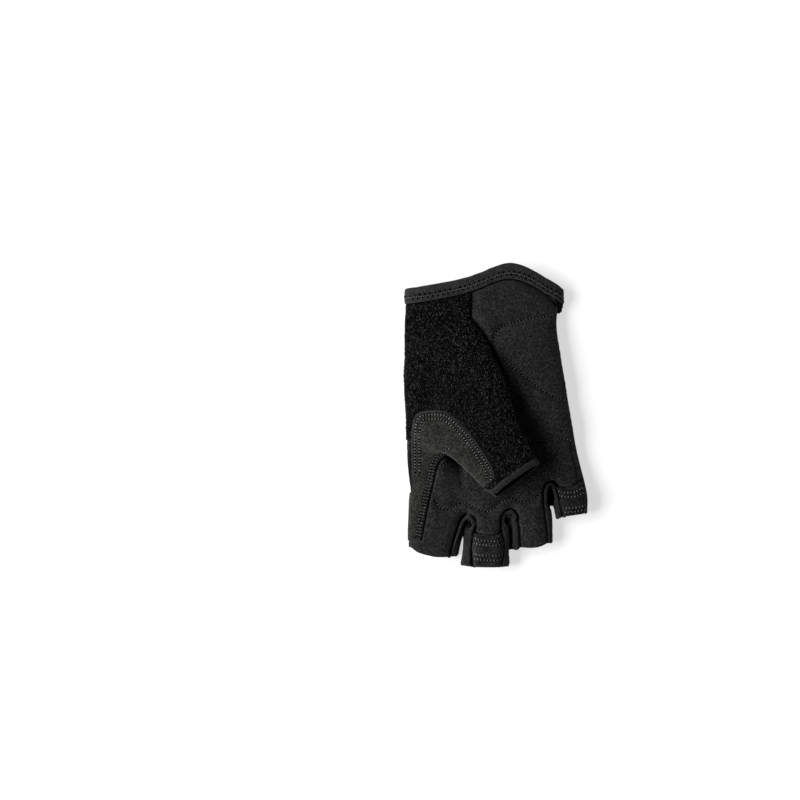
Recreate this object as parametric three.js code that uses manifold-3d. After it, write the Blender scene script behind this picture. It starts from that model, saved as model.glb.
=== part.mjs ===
// A right-hand cycling glove with half fingers, lying palm up.
// Millimetres. X runs from the thumb's side to the little finger's side, Y from the finger tips to the
// wrist, and Z up from the surface that the back of the glove lies on.
import * as THREE from "three";
import { mergeVertices } from "three/addons/utils/BufferGeometryUtils.js";
import Module from "manifold-3d";

const wasm = await Module();
wasm.setup();

// Driving dimensions
const WALL = 1.5; // thickness of the cloth and suede
const SEAM_GAP = 0.3; // clearance between two panels at a seam
const BACK_SPLIT = 2.0; // height at which the flat back ends and the sides begin
const CORNER = 6; // how far the rounding of the lower edges reaches inwards
const BINDING_WIDTH = 8; // wrist binding, measured along the glove
const BINDING_PROUD = 0.7; // how far the binding stands out from the wall on each face
const HEM_WIDTH = 2.6; // rolled hem at the mouth of the thumb
const HEM_PROUD = 0.5;
const TAB_THICK = 1.0; // thickness of the pull tabs
const TAB_LIFT = 0.9; // clearance under the arch of a pull tab
const TAB_CLEAR = 0.6; // allowance for the facets under a tab
const TAB_STEPS = 10; // sections along a pull tab
const QUILT_WIDTH = 1.6; // grooves between the padded zones of the palm
const QUILT_DEPTH = 0.7;
const QUILT_STEPS = 3; // parts of a groove between two points of its line
const LEAST_MITRE = 0.4; // keeps the sharpest corners of a widened outline from running away
const ZONE_MARGIN = 0.4; // how far a zone's tube stands outside the surface that it cuts
const OVERRUN = 6; // how far a cutter or an inner tube runs past what it cuts
const HIGH = 40; // above everything
const FAR = 110; // beyond everything, sideways

// Turns a list of rows into objects with the named columns.
const table = (columns, rows) =>
  rows.map((row) => Object.fromEntries(columns.map((name, i) => [name, row[i]])));

// The hand: a flattened tube, a row for each cross-section from the cuff to the knuckles.
// edge is the height of the fold at the sides, and drop is how much further the right end of a section
// lies towards the wrist than its left end.
const TUBE_COLUMNS = ["y", "left", "right", "top", "edge", "drop"];
const HAND = table(TUBE_COLUMNS, [
  [62, -49.6, 34.2, 10.0, 4.4, 0],
  [50, -50.0, 33.4, 10.6, 4.6, 0],
  [36, -50.2, 35.1, 11.4, 4.8, 0],
  [20, -49.9, 37.8, 12.0, 5.0, 0],
  [3, -49.5, 40.6, 12.2, 5.0, 0],
  [-12, -49.2, 43.0, 12.0, 4.9, 1],
  [-26, -48.9, 44.8, 11.4, 4.7, 4],
  [-38, -47.6, 46.2, 9.6, 4.4, 9],
  [-47, -45.0, 45.5, 5.6, 4.2, 13],
]);

// The cuff's edge on the palm side is humped, on the back it is level.
const CUFF = table(
  ["x", "y"],
  [
    [-49.6, 62],
    [-36, 64],
    [-20, 67.2],
    [-9, 70.6],
    [0, 74.4],
    [8.5, 76],
    [18, 73.2],
    [28, 67.2],
    [34.2, 62],
  ],
);
const HUMP_FADES_AT = 30; // the hump's effect on the cross-sections ends here

// The ball of the thumb and the thumb: a flattened tube from the wrist to the thumb's mouth.
// Each row gives its left edge, its right edge and its thickness.
const THUMB = table(
  ["lx", "ly", "lz", "rx", "ry", "rz", "thick"],
  [
    [-45.5, 66, 4.4, -17, 66, 5.0, 5.0],
    [-46.8, 50, 4.8, -10.8, 51, 8.6, 7.6],
    [-47.4, 34, 5.2, -2.6, 35, 13.2, 9.0],
    [-47.4, 18, 5.8, 4.6, 19, 16.4, 9.6],
    [-46.6, 4, 6.8, 8.6, 5, 17.6, 10.2],
    [-43.6, -8, 9.0, 11.0, -3, 18.2, 10.6],
    [-36.0, -15.5, 13.0, 13.8, -9.5, 18.6, 10.6],
    [-24.5, -22.5, 17.0, 17.2, -15.8, 18.9, 10.6],
    [-15.4, -30.4, 18.6, 20.4, -21.6, 19.1, 10.8],
    [-6.6, -39.6, 19.0, 23.6, -27.2, 19.3, 11.4],
  ],
);
const STALL_STARTS = 6; // the row where the thumb's stall leaves the hand
const STALL_MARGIN = 0.12; // how far the zone below the stall reaches past its edges, as a share
const STALL_SEAM_DROP = 0.6; // how far the underside's seam lies below the edges

// The fingers: each a flattened tube, with a row for each section from its root to its tip.
const FINGERS = {
  index: table(TUBE_COLUMNS, [
    [-30, -45.5, -16.0, 7.0, 4.2, 0],
    [-42, -47.2, -16.6, 9.8, 4.2, 0],
    [-51, -47.7, -17.6, 10.0, 4.2, 0],
    [-60, -48.1, -19.6, 9.6, 4.2, 0],
    [-75.4, -48.3, -21.2, 9.0, 4.2, -2.6],
  ]),
  middle: table(TUBE_COLUMNS, [
    [-30, -19.5, 9.5, 7.4, 4.2, 0],
    [-42, -18.8, 9.6, 10.6, 4.2, 0],
    [-51, -18.0, 9.3, 10.6, 4.2, 0],
    [-60, -17.5, 8.2, 10.2, 4.2, 0],
    [-82.8, -20.0, 6.6, 9.2, 4.2, 0.4],
  ]),
  ring: table(TUBE_COLUMNS, [
    [-26, 7.5, 31.0, 7.4, 4.2, 1.5],
    [-37, 8.0, 31.2, 10.4, 4.2, 1.2],
    [-46, 8.4, 29.6, 10.3, 4.2, 1.0],
    [-57, 9.3, 31.0, 9.9, 4.2, 0.8],
    [-72.6, 9.0, 31.0, 9.2, 4.2, 0.8],
  ]),
  little: table(TUBE_COLUMNS, [
    [-20, 27.0, 43.6, 7.0, 4.2, 3.2],
    [-31, 28.6, 46.6, 9.6, 4.2, 2.8],
    [-39, 30.6, 48.8, 9.8, 4.2, 2.6],
    [-47, 32.0, 50.4, 9.4, 4.2, 2.4],
    [-56.4, 33.8, 50.2, 9.0, 4.2, 2.6],
  ]),
};

// Seams, each a smooth line through a few points, seen from above.
const SEAM_COLUMNS = ["x", "y"];
const SEAMS = {
  // terry against the smooth fabric, on the back
  backTerry: table(SEAM_COLUMNS, [
    [19, 62],
    [0, 47.7],
    [-22, 26.8],
    [-38.6, 1.5],
    [-44, -7.8],
    [-51, -19],
  ]),
  // suede wrapped round the little finger's side, on the back
  backUlnar: table(SEAM_COLUMNS, [
    [36, 62],
    [33.6, 50],
    [32.6, 24],
    [31.8, 6],
    [34, -5],
    [43.6, -26],
    [52, -44],
  ]),
  // terry against the palm, from the cuff to the crotch of the thumb, under the thumb's fold
  palmTerry: table(SEAM_COLUMNS, [
    [-13.9, 80],
    [-13.6, 60],
    [-15.5, 44],
    [-19, 24],
    [-23, 4],
    [-26, -14],
  ]),
  // thumb patch against the terry, on top
  patchTerry: table(SEAM_COLUMNS, [
    [-47.2, -21],
    [-46.8, -8],
    [-45, -0.6],
    [-41, 2.4],
    [-32, 3],
    [-26, 1.4],
    [-19.9, -3.4],
    [-12.8, -11.1],
    [-5.6, -21.6],
    [-1.4, -29.4],
    [-1.8, -36],
    [-5, -44],
  ]),
  // thumb patch against the palm, along the index finger
  patchPalm: table(SEAM_COLUMNS, [
    [-26, -14],
    [-27, -20.5],
    [-31.6, -26],
    [-34.2, -36],
    [-37.5, -50.2],
    [-41.6, -68.9],
    [-43.2, -82],
  ]),
};

// The gussets between the fingers, seen from above: the palm's seam down one finger, round the crotch
// and down the next finger.
const GUSSETS = {
  fourchette_index_middle: table(SEAM_COLUMNS, [
    [-24.4, -82],
    [-22.9, -70],
    [-19.6, -59],
    [-15.2, -53.6],
    [-12.2, -59],
    [-13.2, -72],
    [-13.6, -88],
  ]),
  fourchette_middle_ring: table(SEAM_COLUMNS, [
    [2.2, -88],
    [4.2, -72],
    [4.0, -60],
    [8.4, -51.4],
    [12.4, -60],
    [13.2, -70],
    [13.6, -78],
  ]),
  fourchette_ring_little: table(SEAM_COLUMNS, [
    [28.0, -78],
    [28.4, -66],
    [26.6, -48],
    [29.4, -37.4],
    [33.6, -43],
    [36.0, -52],
    [37.6, -62],
  ]),
};

// The quilting lines of the palm, seen from above.
const QUILTING = [
  table(SEAM_COLUMNS, [
    [0, 44],
    [5, 48.4],
    [15, 52.6],
    [31, 55],
  ]),
  table(SEAM_COLUMNS, [
    [3, 32.4],
    [13, 23.4],
    [24, 16],
    [34, 10.2],
  ]),
  table(SEAM_COLUMNS, [
    [-6, -13],
    [18, -14],
    [33, -12.8],
    [43.6, -14.4],
  ]),
  table(SEAM_COLUMNS, [
    [-32.6, -49.3],
    [-24, -50.8],
    [-14, -48],
    [-3, -52.6],
    [8, -45.6],
    [18, -46.8],
    [25, -42.6],
  ]),
];

// The pull tabs: the middle and the half width of the end nearer the palm and of the end at the
// finger's tip, and how much the ends slope.
const TABS = table(
  ["name", "finger", "rootX", "rootY", "rootHalf", "tipX", "tipY", "tipHalf", "slope"],
  [
    ["pull_tab_middle", "middle", -4.6, -66.2, 7.7, -4.9, -82.4, 7.8, 0.02],
    ["pull_tab_little", "little", 41.0, -41.2, 7.3, 42.8, -53.6, 6.4, 0.12],
  ],
);

// Sums and small tools

const clamp01 = (t) => Math.min(1, Math.max(0, t));
const smooth = (t) => clamp01(t) ** 2 * (3 - 2 * clamp01(t));
const power = (v, n) => Math.sign(v) * Math.abs(v) ** (2 / n);

// Reads the named columns of a table at a place t between its rows, on a smooth curve.
function rowAt(rows, t) {
  const last = rows.length - 1;
  const i = Math.min(last - 1, Math.floor(t));
  const f = t - i;
  const at = (k, name) => rows[Math.min(last, Math.max(0, k))][name];
  const read = (name) => {
    const [a, b, c, d] = [at(i - 1, name), at(i, name), at(i + 1, name), at(i + 2, name)];
    const start = (c - a) / 2;
    const end = (d - b) / 2;
    const bend = f * f * (3 - 2 * f);
    return b + (c - b) * bend + start * f * (1 - f) ** 2 - end * f * f * (1 - f);
  };
  return Object.fromEntries(Object.keys(rows[0]).map((name) => [name, read(name)]));
}

// Splits the spaces between a table's rows into steps, and reads a row at each.
function rowsBetween(rows, steps) {
  const count = (rows.length - 1) * steps;
  return Array.from({ length: count + 1 }, (_, i) => rowAt(rows, i / steps));
}

// The y of the cuff's edge on the palm side.
const cuffCurve = new THREE.SplineCurve(CUFF.map((p) => new THREE.Vector2(p.x, p.y)));
const cuffPoints = cuffCurve.getPoints(64);
function cuffY(x) {
  const next = cuffPoints.findIndex((p) => p.x > x);
  if (next <= 0) {
    return CUFF[0].y;
  }
  const [a, b] = [cuffPoints[next - 1], cuffPoints[next]];
  return a.y + ((b.y - a.y) * (x - a.x)) / (b.x - a.x);
}

// A closed mesh as a solid that can be joined and cut.
function solid(geometry) {
  const bare = geometry.clone();
  bare.deleteAttribute("normal");
  bare.deleteAttribute("uv");
  const merged = mergeVertices(bare, 1e-4);
  const vertProperties = merged.attributes.position.array;
  const triVerts = new Uint32Array(merged.index.array);
  return new wasm.Manifold(new wasm.Mesh({ numProp: 3, vertProperties, triVerts }));
}

// Keeps the largest body of a solid, because a cut along a curved seam can leave crumbs.
function largest(made) {
  const bodies = made.decompose().sort((a, b) => b.volume() - a.volume());
  return bodies[0];
}

// A solid's mesh as a geometry for a scene.
function geometryOf(made) {
  const mesh = largest(made).getMesh();
  const flat = new THREE.BufferGeometry();
  flat.setAttribute("position", new THREE.BufferAttribute(mesh.vertProperties, 3));
  flat.setIndex(new THREE.BufferAttribute(mesh.triVerts, 1));
  const faceted = flat.toNonIndexed();
  faceted.computeVertexNormals();
  return faceted;
}

// A body through rings of equally many points. closed joins the last ring to the first, as on a band.
function loft(rings, closed = false) {
  const n = rings[0].length;
  const positions = rings.flat().flatMap((p) => [p.x, p.y, p.z]);
  const faces = [];
  const spans = closed ? rings.length : rings.length - 1;
  for (let i = 0; i < spans; i += 1) {
    const [lower, upper] = [i * n, ((i + 1) % rings.length) * n];
    for (let j = 0; j < n; j += 1) {
      const k = (j + 1) % n;
      faces.push(lower + j, lower + k, upper + k, lower + j, upper + k, upper + j);
    }
  }
  const cap = (ring, start, flip) => {
    const middle = ring.reduce((sum, p) => sum.add(p), new THREE.Vector3()).divideScalar(n);
    const centre = positions.length / 3;
    positions.push(middle.x, middle.y, middle.z);
    for (let j = 0; j < n; j += 1) {
      const [a, b] = [start + j, start + ((j + 1) % n)];
      faces.push(...(flip ? [centre, b, a] : [centre, a, b]));
    }
  };
  if (!closed) {
    cap(rings[0], 0, true);
    cap(rings[rings.length - 1], (rings.length - 1) * n, false);
  }
  const geometry = new THREE.BufferGeometry();
  geometry.setAttribute("position", new THREE.Float32BufferAttribute(positions, 3));
  geometry.setIndex(faces);
  const made = solid(geometry);
  if (made.volume() >= 0) {
    return made;
  }
  for (let i = 0; i < faces.length; i += 3) {
    [faces[i + 1], faces[i + 2]] = [faces[i + 2], faces[i + 1]];
  }
  geometry.setIndex(faces);
  return solid(geometry);
}

// An upright body with the given outline, seen from above, from a low level to a high one.
function prism(points, low, high) {
  const shape = new THREE.Shape(points);
  const geometry = new THREE.ExtrudeGeometry(shape, {
    depth: high - low,
    bevelEnabled: false,
    steps: 1,
  });
  geometry.translate(0, 0, low);
  return solid(geometry);
}

const vec2 = (x, y) => new THREE.Vector2(x, y);

// A seam as points on its smooth line.
function seamLine(rows, steps = 3) {
  const curve = new THREE.SplineCurve(rows.map((p) => vec2(p.x, p.y)));
  return curve.getPoints((rows.length - 1) * steps);
}

// A closed outline moved outwards by the given distance, with mitred corners.
function grown(points, by) {
  const turn = Math.sign(THREE.ShapeUtils.area(points));
  return points.map((p, i) => {
    const before = points[(i + points.length - 1) % points.length];
    const after = points[(i + 1) % points.length];
    const a = p.clone().sub(before).normalize();
    const b = after.clone().sub(p).normalize();
    const stretch = (turn * by) / Math.max(LEAST_MITRE, 1 + a.dot(b));
    return vec2(p.x + (a.y + b.y) * stretch, p.y - (a.x + b.x) * stretch);
  });
}

// A zone with the given outline, from a low level to a high one, widened by grow.
function zone(outline, low, high, grow) {
  return prism(grow > 0 ? grown(outline, grow) : outline, low, high);
}

// The flattened tubes

// How much further towards the wrist a section lies at a place across it.
const slant = (row, x) => row.drop * ((x - row.left) / (row.right - row.left));

// How many points a cross-section has: on the rounding of a lower edge, along the flat underside,
// over the top, round the thumb, and how many steps there are between two rows of the hand's table.
const OUTSIDE = { side: 4, floor: 3, top: 20, thumb: 26, between: 2 };
const INSIDE = { side: 3, floor: 3, top: 14, thumb: 18, between: 1 };
const TOP_POWER = 2.5; // squareness of the top's curve, 2 being an ellipse

// One cross-section of the hand or of a finger, set in from the outer surface by inset.
function flatRing(row, inset, yOf, fine = OUTSIDE) {
  const corner = Math.min(CORNER, (row.right - row.left) / 5);
  const [left, right] = [row.left + inset, row.right - inset];
  const [top, bottom] = [row.top - inset, inset];
  const points = [];
  const middle = (left + right) / 2;
  const widen = (row.right - row.left) / (right - left);
  const add = (x, z, over) => {
    points.push(new THREE.Vector3(x, yOf(middle + (x - middle) * widen, over), z));
  };
  const reach = corner - inset / 2;
  for (let i = 0; i < fine.side; i += 1) {
    const turn = (i / fine.side) * (Math.PI / 2);
    add(left + reach * (1 - Math.cos(turn)), row.edge - (row.edge - bottom) * Math.sin(turn), 0);
  }
  for (let i = 0; i <= fine.floor; i += 1) {
    add(left + reach + ((right - left - 2 * reach) * i) / fine.floor, bottom, 0);
  }
  for (let i = fine.side - 1; i > 0; i -= 1) {
    const turn = (i / fine.side) * (Math.PI / 2);
    add(right - reach * (1 - Math.cos(turn)), row.edge - (row.edge - bottom) * Math.sin(turn), 0);
  }
  for (let i = 0; i < fine.top; i += 1) {
    const turn = (i / fine.top) * Math.PI;
    const x = middle + ((right - left) / 2) * power(Math.cos(turn), TOP_POWER);
    add(x, row.edge + (top - row.edge) * power(Math.sin(turn), TOP_POWER), 1);
  }
  return points;
}

// The hand's tube. Towards the cuff the upper side of each section follows the hump of the cuff.
function handTube(inset, beyond, fine) {
  const level = CUFF[0].y;
  const ringAt = (row, setIn) => {
    const share = smooth((row.y - HUMP_FADES_AT) / (level - HUMP_FADES_AT));
    const yOf = (x, over) => row.y + slant(row, x) + (over ? (cuffY(x) - level) * share : 0);
    return flatRing(row, setIn, yOf, fine);
  };
  const rings = rowsBetween(HAND, fine.between).map((row) => ringAt(row, inset));
  if (beyond > 0) {
    rings.unshift(rings[0].map((p) => p.clone().setY(p.y + beyond)));
  } else {
    rings.unshift(ringAt(HAND[0], inset + WALL + SEAM_GAP));
  }
  return loft(rings);
}

// A finger's tube. Its sections slant where the ends of the finger do.
function fingerTube(rows, inset, beyond, fine) {
  const rings = rows.map((row) => flatRing(row, inset, (x) => row.y + slant(row, x), fine));
  if (beyond > 0) {
    rings.push(rings[rings.length - 1].map((p) => p.clone().setY(p.y - beyond)));
  }
  return loft(rings);
}

const THUMB_POWER = 2.3; // squareness of the thumb's sections

// One cross-section of the thumb's tube.
function thumbRing(row, inset, fine = OUTSIDE) {
  const left = new THREE.Vector3(row.lx, row.ly, row.lz);
  const right = new THREE.Vector3(row.rx, row.ry, row.rz);
  const middle = left.clone().add(right).multiplyScalar(0.5);
  const across = right.clone().sub(left);
  const half = across.length() / 2 - inset;
  across.normalize();
  const along = new THREE.Vector3(across.y, -across.x, 0).normalize();
  const up = new THREE.Vector3().crossVectors(along, across).normalize();
  up.multiplyScalar(Math.sign(up.z));
  return Array.from({ length: fine.thumb }, (_, i) => {
    const turn = (i / fine.thumb) * 2 * Math.PI;
    return middle
      .clone()
      .addScaledVector(across, half * power(Math.cos(turn), THUMB_POWER))
      .addScaledVector(up, (row.thick / 2 - inset) * power(Math.sin(turn), THUMB_POWER));
  });
}

// The direction in which the thumb's mouth faces.
const mouthRow = THUMB[THUMB.length - 1];
const MOUTH_AXIS = new THREE.Vector3(
  mouthRow.ry - mouthRow.ly,
  mouthRow.lx - mouthRow.rx,
  0,
).normalize();

function thumbTube(inset, beyond, fine) {
  const rings = rowsBetween(THUMB, fine.between).map((row) => thumbRing(row, inset, fine));
  if (beyond > 0) {
    const last = rings[rings.length - 1];
    rings.push(last.map((p) => p.clone().addScaledVector(MOUTH_AXIS, beyond)));
  }
  return loft(rings);
}

const fingerNames = Object.keys(FINGERS);
const join = (solids) => solids.reduce((a, b) => a.add(b));

// The whole glove's outer form, set in by inset. beyond opens it at the cuff and at every tip.
function gloveForm(inset, beyond, fine) {
  const fingers = fingerNames.map((name) => fingerTube(FINGERS[name], inset, beyond, fine));
  return join([handTube(inset, beyond, fine), thumbTube(inset, beyond, fine), ...fingers]);
}

// The zones that the panels are cut by. grow widens a zone by the clearance at a seam.

// Left of the back's terry seam, below the side folds.
function terryBackZone(grow) {
  const seam = seamLine(SEAMS.backTerry);
  const end = seam[seam.length - 1];
  const outline = [...seam, vec2(-FAR, end.y), vec2(-FAR, FAR), vec2(seam[0].x, FAR)];
  return zone(outline, -OVERRUN, BACK_SPLIT + grow, grow);
}

// Right of the back's ulnar seam.
function ulnarBackZone(grow) {
  const seam = seamLine(SEAMS.backUlnar);
  const end = seam[seam.length - 1];
  const outline = [...seam, vec2(FAR, end.y), vec2(FAR, FAR), vec2(seam[0].x, FAR)];
  return zone(outline, -OVERRUN, BACK_SPLIT + grow, grow);
}

// One gusset: between two fingers, above the back.
function gussetZone(rows, grow) {
  return zone(seamLine(rows, 4), BACK_SPLIT - grow, HIGH, grow);
}

// The ball and the outer face of the thumb: what the thumb's tube holds, and all that lies left of
// the palm's terry seam.
function terryTopZone(grow) {
  const seam = seamLine(SEAMS.palmTerry);
  const end = seam[seam.length - 1];
  const outline = [...seam, vec2(-FAR, end.y), vec2(-FAR, FAR), vec2(seam[0].x, FAR)];
  const beside = zone(outline, BACK_SPLIT - grow, HIGH, grow);
  return beside.add(thumbTube(-grow - ZONE_MARGIN, OVERRUN, INSIDE));
}

// Below the level of the thumb's own edges, over the length of the thumb's stall.
function stallUnderside(grow) {
  const rings = THUMB.slice(STALL_STARTS).map((row) => {
    const [dx, dy] = [(row.rx - row.lx) * STALL_MARGIN, (row.ry - row.ly) * STALL_MARGIN];
    const [a, b] = [vec2(row.lx - dx, row.ly - dy), vec2(row.rx + dx, row.ry + dy)];
    const [az, bz] = [row.lz + grow - STALL_SEAM_DROP, row.rz + grow - STALL_SEAM_DROP];
    return [
      new THREE.Vector3(a.x, a.y, az - row.thick),
      new THREE.Vector3(b.x, b.y, bz - row.thick),
      new THREE.Vector3(b.x, b.y, bz),
      new THREE.Vector3(a.x, a.y, az),
    ];
  });
  const moved = (ring, by) => ring.map((p) => p.clone().addScaledVector(MOUTH_AXIS, by));
  rings.unshift(moved(rings[0], -SEAM_GAP - grow));
  rings.push(moved(rings[rings.length - 1], OVERRUN));
  return loft(rings).intersect(thumbTube(-grow - ZONE_MARGIN, OVERRUN, INSIDE));
}

// The thumb patch: a saddle over the crotch, the index finger's side and the thumb's inner face.
function patchZone(grow) {
  const upper = seamLine(SEAMS.patchTerry);
  const lower = seamLine(SEAMS.patchPalm);
  const end = lower[lower.length - 1];
  const level = BACK_SPLIT - grow;
  const saddle = zone([...upper, vec2(-30, -50), vec2(-FAR, -50), vec2(-FAR, -21)], level, HIGH, grow);
  const side = zone([...lower, vec2(-FAR, end.y), vec2(-FAR, -21), vec2(-46, -14)], level, HIGH, grow);
  const neck = [vec2(-FAR, 5), vec2(-24, 5), ...lower.slice(0, 4), vec2(-FAR, lower[3].y)];
  const thumb = thumbTube(-grow - ZONE_MARGIN, OVERRUN, INSIDE);
  const overCrotch = saddle.intersect(thumb.add(zone(neck, level, HIGH, grow)));
  return join([overCrotch, side, stallUnderside(grow)]);
}

// Panels

const shell = gloveForm(0, 0, OUTSIDE).subtract(gloveForm(WALL, OVERRUN, INSIDE));

const gussets = Object.fromEntries(
  Object.entries(GUSSETS).map(([name, rows]) => [
    name,
    { cut: gussetZone(rows, 0), clear: gussetZone(rows, SEAM_GAP) },
  ]),
);
const gussetsClear = join(Object.values(gussets).map((g) => g.clear));

const everywhere = [vec2(-FAR, -FAR), vec2(FAR, -FAR), vec2(FAR, FAR), vec2(-FAR, FAR)];
const backPanel = shell
  .intersect(prism(everywhere, -OVERRUN, BACK_SPLIT - SEAM_GAP))
  .subtract(terryBackZone(SEAM_GAP))
  .subtract(ulnarBackZone(SEAM_GAP));
const upperShell = shell.intersect(prism(everywhere, BACK_SPLIT, HIGH)).subtract(gussetsClear);
const terrySolid = upperShell
  .intersect(terryTopZone(0))
  .add(shell.intersect(terryBackZone(0)))
  .subtract(patchZone(SEAM_GAP));
const patchSolid = upperShell.intersect(patchZone(0));
const palmShell = upperShell
  .subtract(terryTopZone(SEAM_GAP))
  .subtract(patchZone(SEAM_GAP))
  .add(shell.intersect(ulnarBackZone(0)));

// The height of a flattened tube's upper side at a place seen from above, or 0 beside the tube.
function heightOn(rows, x, y) {
  const sections = rows.map((row) => row.y + slant(row, x));
  const last = rows.length - 1;
  if (y > sections[0] || y < sections[last]) {
    return 0;
  }
  let place = 0;
  while (place < last - 1 && sections[place + 1] > y) {
    place += 1;
  }
  const share = (sections[place] - y) / (sections[place] - sections[place + 1]);
  const row = rowAt(rows, place + share);
  const across = Math.abs((2 * x - row.left - row.right) / (row.right - row.left));
  if (across >= 1) {
    return 0;
  }
  return row.edge + (row.top - row.edge) * (1 - across ** TOP_POWER) ** (1 / TOP_POWER);
}

const palmHeight = (x, y) =>
  Math.max(heightOn(HAND, x, y), ...fingerNames.map((name) => heightOn(FINGERS[name], x, y)));

// The quilting grooves: a V-shaped cutter along each line, at the height of the palm's surface.
function quiltCutter(rows) {
  const line = seamLine(rows, QUILT_STEPS);
  const rings = line.map((p, i) => {
    const before = line[Math.max(0, i - 1)];
    const after = line[Math.min(line.length - 1, i + 1)];
    const along = after.clone().sub(before).normalize();
    const side = new THREE.Vector3(-along.y, along.x, 0).multiplyScalar(QUILT_WIDTH);
    const floor = new THREE.Vector3(p.x, p.y, palmHeight(p.x, p.y) - QUILT_DEPTH);
    const rim = floor.clone().setZ(floor.z + QUILT_DEPTH * 2);
    return [floor, rim.clone().add(side), rim.clone().sub(side)];
  });
  return loft(rings);
}

// Bands

// A closed band over the ring of points at each place along it, with a wall that stands out from the
// glove's wall on both faces.
function band(ringAt, places, proud) {
  const outside = places.map((place) => ringAt(place, -proud));
  const inside = places.map((place) => ringAt(place, WALL + proud)).reverse();
  return loft([...outside, ...inside], true);
}

function wristBinding() {
  const level = CUFF[0].y;
  const ringAt = (along, inset) => {
    const ring = flatRing(HAND[0], inset, (x, over) => {
      const hump = over ? cuffY(x) - level : 0;
      return level + SEAM_GAP + hump + along;
    });
    return ring.map((p) => p.setZ(Math.max(p.z, 0)));
  };
  return band(ringAt, [0, BINDING_WIDTH / 2, BINDING_WIDTH], BINDING_PROUD);
}

function thumbHem() {
  const ringAt = (along, inset) =>
    thumbRing(mouthRow, inset).map((p) => p.addScaledVector(MOUTH_AXIS, SEAM_GAP + along));
  return band(ringAt, [0, HEM_WIDTH], HEM_PROUD);
}

// A pull tab: a strip sewn down at both ends, arched clear of the finger between them.
function pullTab(tab) {
  const rows = FINGERS[tab.finger];
  const tip = rows[rows.length - 1].y;
  const sides = [-1, -0.5, 0, 0.5, 1];
  const rings = Array.from({ length: TAB_STEPS + 1 }, (_, i) => {
    const share = i / TAB_STEPS;
    const arch = TAB_LIFT * Math.sin(Math.PI * share) ** 2;
    const [cx, cy, half] = ["X", "Y", "Half"].map(
      (name) => tab[`root${name}`] * (1 - share) + tab[`tip${name}`] * share,
    );
    const under = sides.map((side) => {
      const [x, y] = [cx + side * half, cy + side * half * tab.slope];
      const palm = Math.max(palmHeight(x, y), heightOn(rows, x, Math.max(y, tip)));
      return new THREE.Vector3(x, y, palm + SEAM_GAP + TAB_CLEAR + arch);
    });
    const over = under.map((p) => p.clone().setZ(p.z + TAB_THICK)).reverse();
    return [...under, ...over];
  });
  return loft(rings);
}

// The scene

const MATERIALS = {
  stretch: new THREE.MeshStandardMaterial({ color: 0x2b2c2f, roughness: 0.62, metalness: 0 }),
  terry: new THREE.MeshStandardMaterial({ color: 0x131314, roughness: 0.95, metalness: 0 }),
  suede: new THREE.MeshStandardMaterial({ color: 0x232324, roughness: 0.85, metalness: 0 }),
  patch: new THREE.MeshStandardMaterial({ color: 0x2e2d2b, roughness: 0.88, metalness: 0 }),
  gusset: new THREE.MeshStandardMaterial({ color: 0x1c1c1e, roughness: 0.8, metalness: 0 }),
  binding: new THREE.MeshStandardMaterial({ color: 0x1f1f21, roughness: 0.7, metalness: 0 }),
};

// The tables' own zero lies this far from the middle of the finished glove's outline.
const MIDDLE_X = 0.05;
const MIDDLE_Y = 0.74;

const glove = new THREE.Group();
glove.position.set(-MIDDLE_X, -MIDDLE_Y, 0);

function addPiece(name, made, material) {
  const mesh = new THREE.Mesh(geometryOf(made), MATERIALS[material]);
  mesh.name = name;
  glove.add(mesh);
}

addPiece("back_panel", backPanel, "stretch");
addPiece("terry_panel", terrySolid, "terry");
addPiece("palm_panel", palmShell.subtract(join(QUILTING.map(quiltCutter))), "suede");
addPiece("thumb_patch", patchSolid, "patch");
for (const [name, { cut }] of Object.entries(gussets)) {
  addPiece(name, shell.intersect(cut), "gusset");
}
addPiece("wrist_binding", wristBinding(), "binding");
addPiece("thumb_hem", thumbHem(), "patch");
for (const tab of TABS) {
  addPiece(tab.name, pullTab(tab), "suede");
}

export default glove;
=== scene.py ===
"""The looks of a half-finger cycling glove that lies palm up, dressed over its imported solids.

Sizes are in millimetres on the glove's own table of sections, and placed() turns them into metres.
X runs from the thumb's side to the little finger's side, Y from the finger tips to the wrist, Z up.
"""
import sys

import logging
import math
from dataclasses import dataclass, field
from enum import Enum
from functools import cache, reduce
from itertools import product

import bpy
import numpy as np
import openvdb
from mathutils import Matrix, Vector
from mathutils.bvhtree import BVHTree
from mathutils.kdtree import KDTree


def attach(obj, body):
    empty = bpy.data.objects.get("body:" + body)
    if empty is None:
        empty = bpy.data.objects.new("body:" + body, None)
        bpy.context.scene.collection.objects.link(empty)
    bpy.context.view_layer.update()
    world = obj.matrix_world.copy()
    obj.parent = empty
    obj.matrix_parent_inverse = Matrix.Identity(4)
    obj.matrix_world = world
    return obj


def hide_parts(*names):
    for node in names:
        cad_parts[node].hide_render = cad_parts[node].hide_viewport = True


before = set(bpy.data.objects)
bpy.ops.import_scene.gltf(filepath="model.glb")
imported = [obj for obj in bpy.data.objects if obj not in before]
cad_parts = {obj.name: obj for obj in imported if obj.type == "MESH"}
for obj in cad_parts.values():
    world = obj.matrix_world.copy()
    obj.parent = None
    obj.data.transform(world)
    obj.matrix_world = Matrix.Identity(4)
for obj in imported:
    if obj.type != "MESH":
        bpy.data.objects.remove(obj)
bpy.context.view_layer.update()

log = logging.getLogger("glove")
Array = np.ndarray
Socket = bpy.types.NodeSocket
Piece = bpy.types.Object
Material = bpy.types.Material
Outputs = bpy.types.bpy_prop_collection

MM = 0.001
MIDDLE = np.array([0.05, 0.74, 0.0])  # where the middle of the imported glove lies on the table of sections
WALL = 1.3  # thickness of cloth and suede
BACK_SPLIT = 2.0  # height at which the flat back ends and the sides begin
FAR = 110.0  # well outside the glove
CLEAR = 0.04  # how far above the floor the lowest points stay


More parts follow.
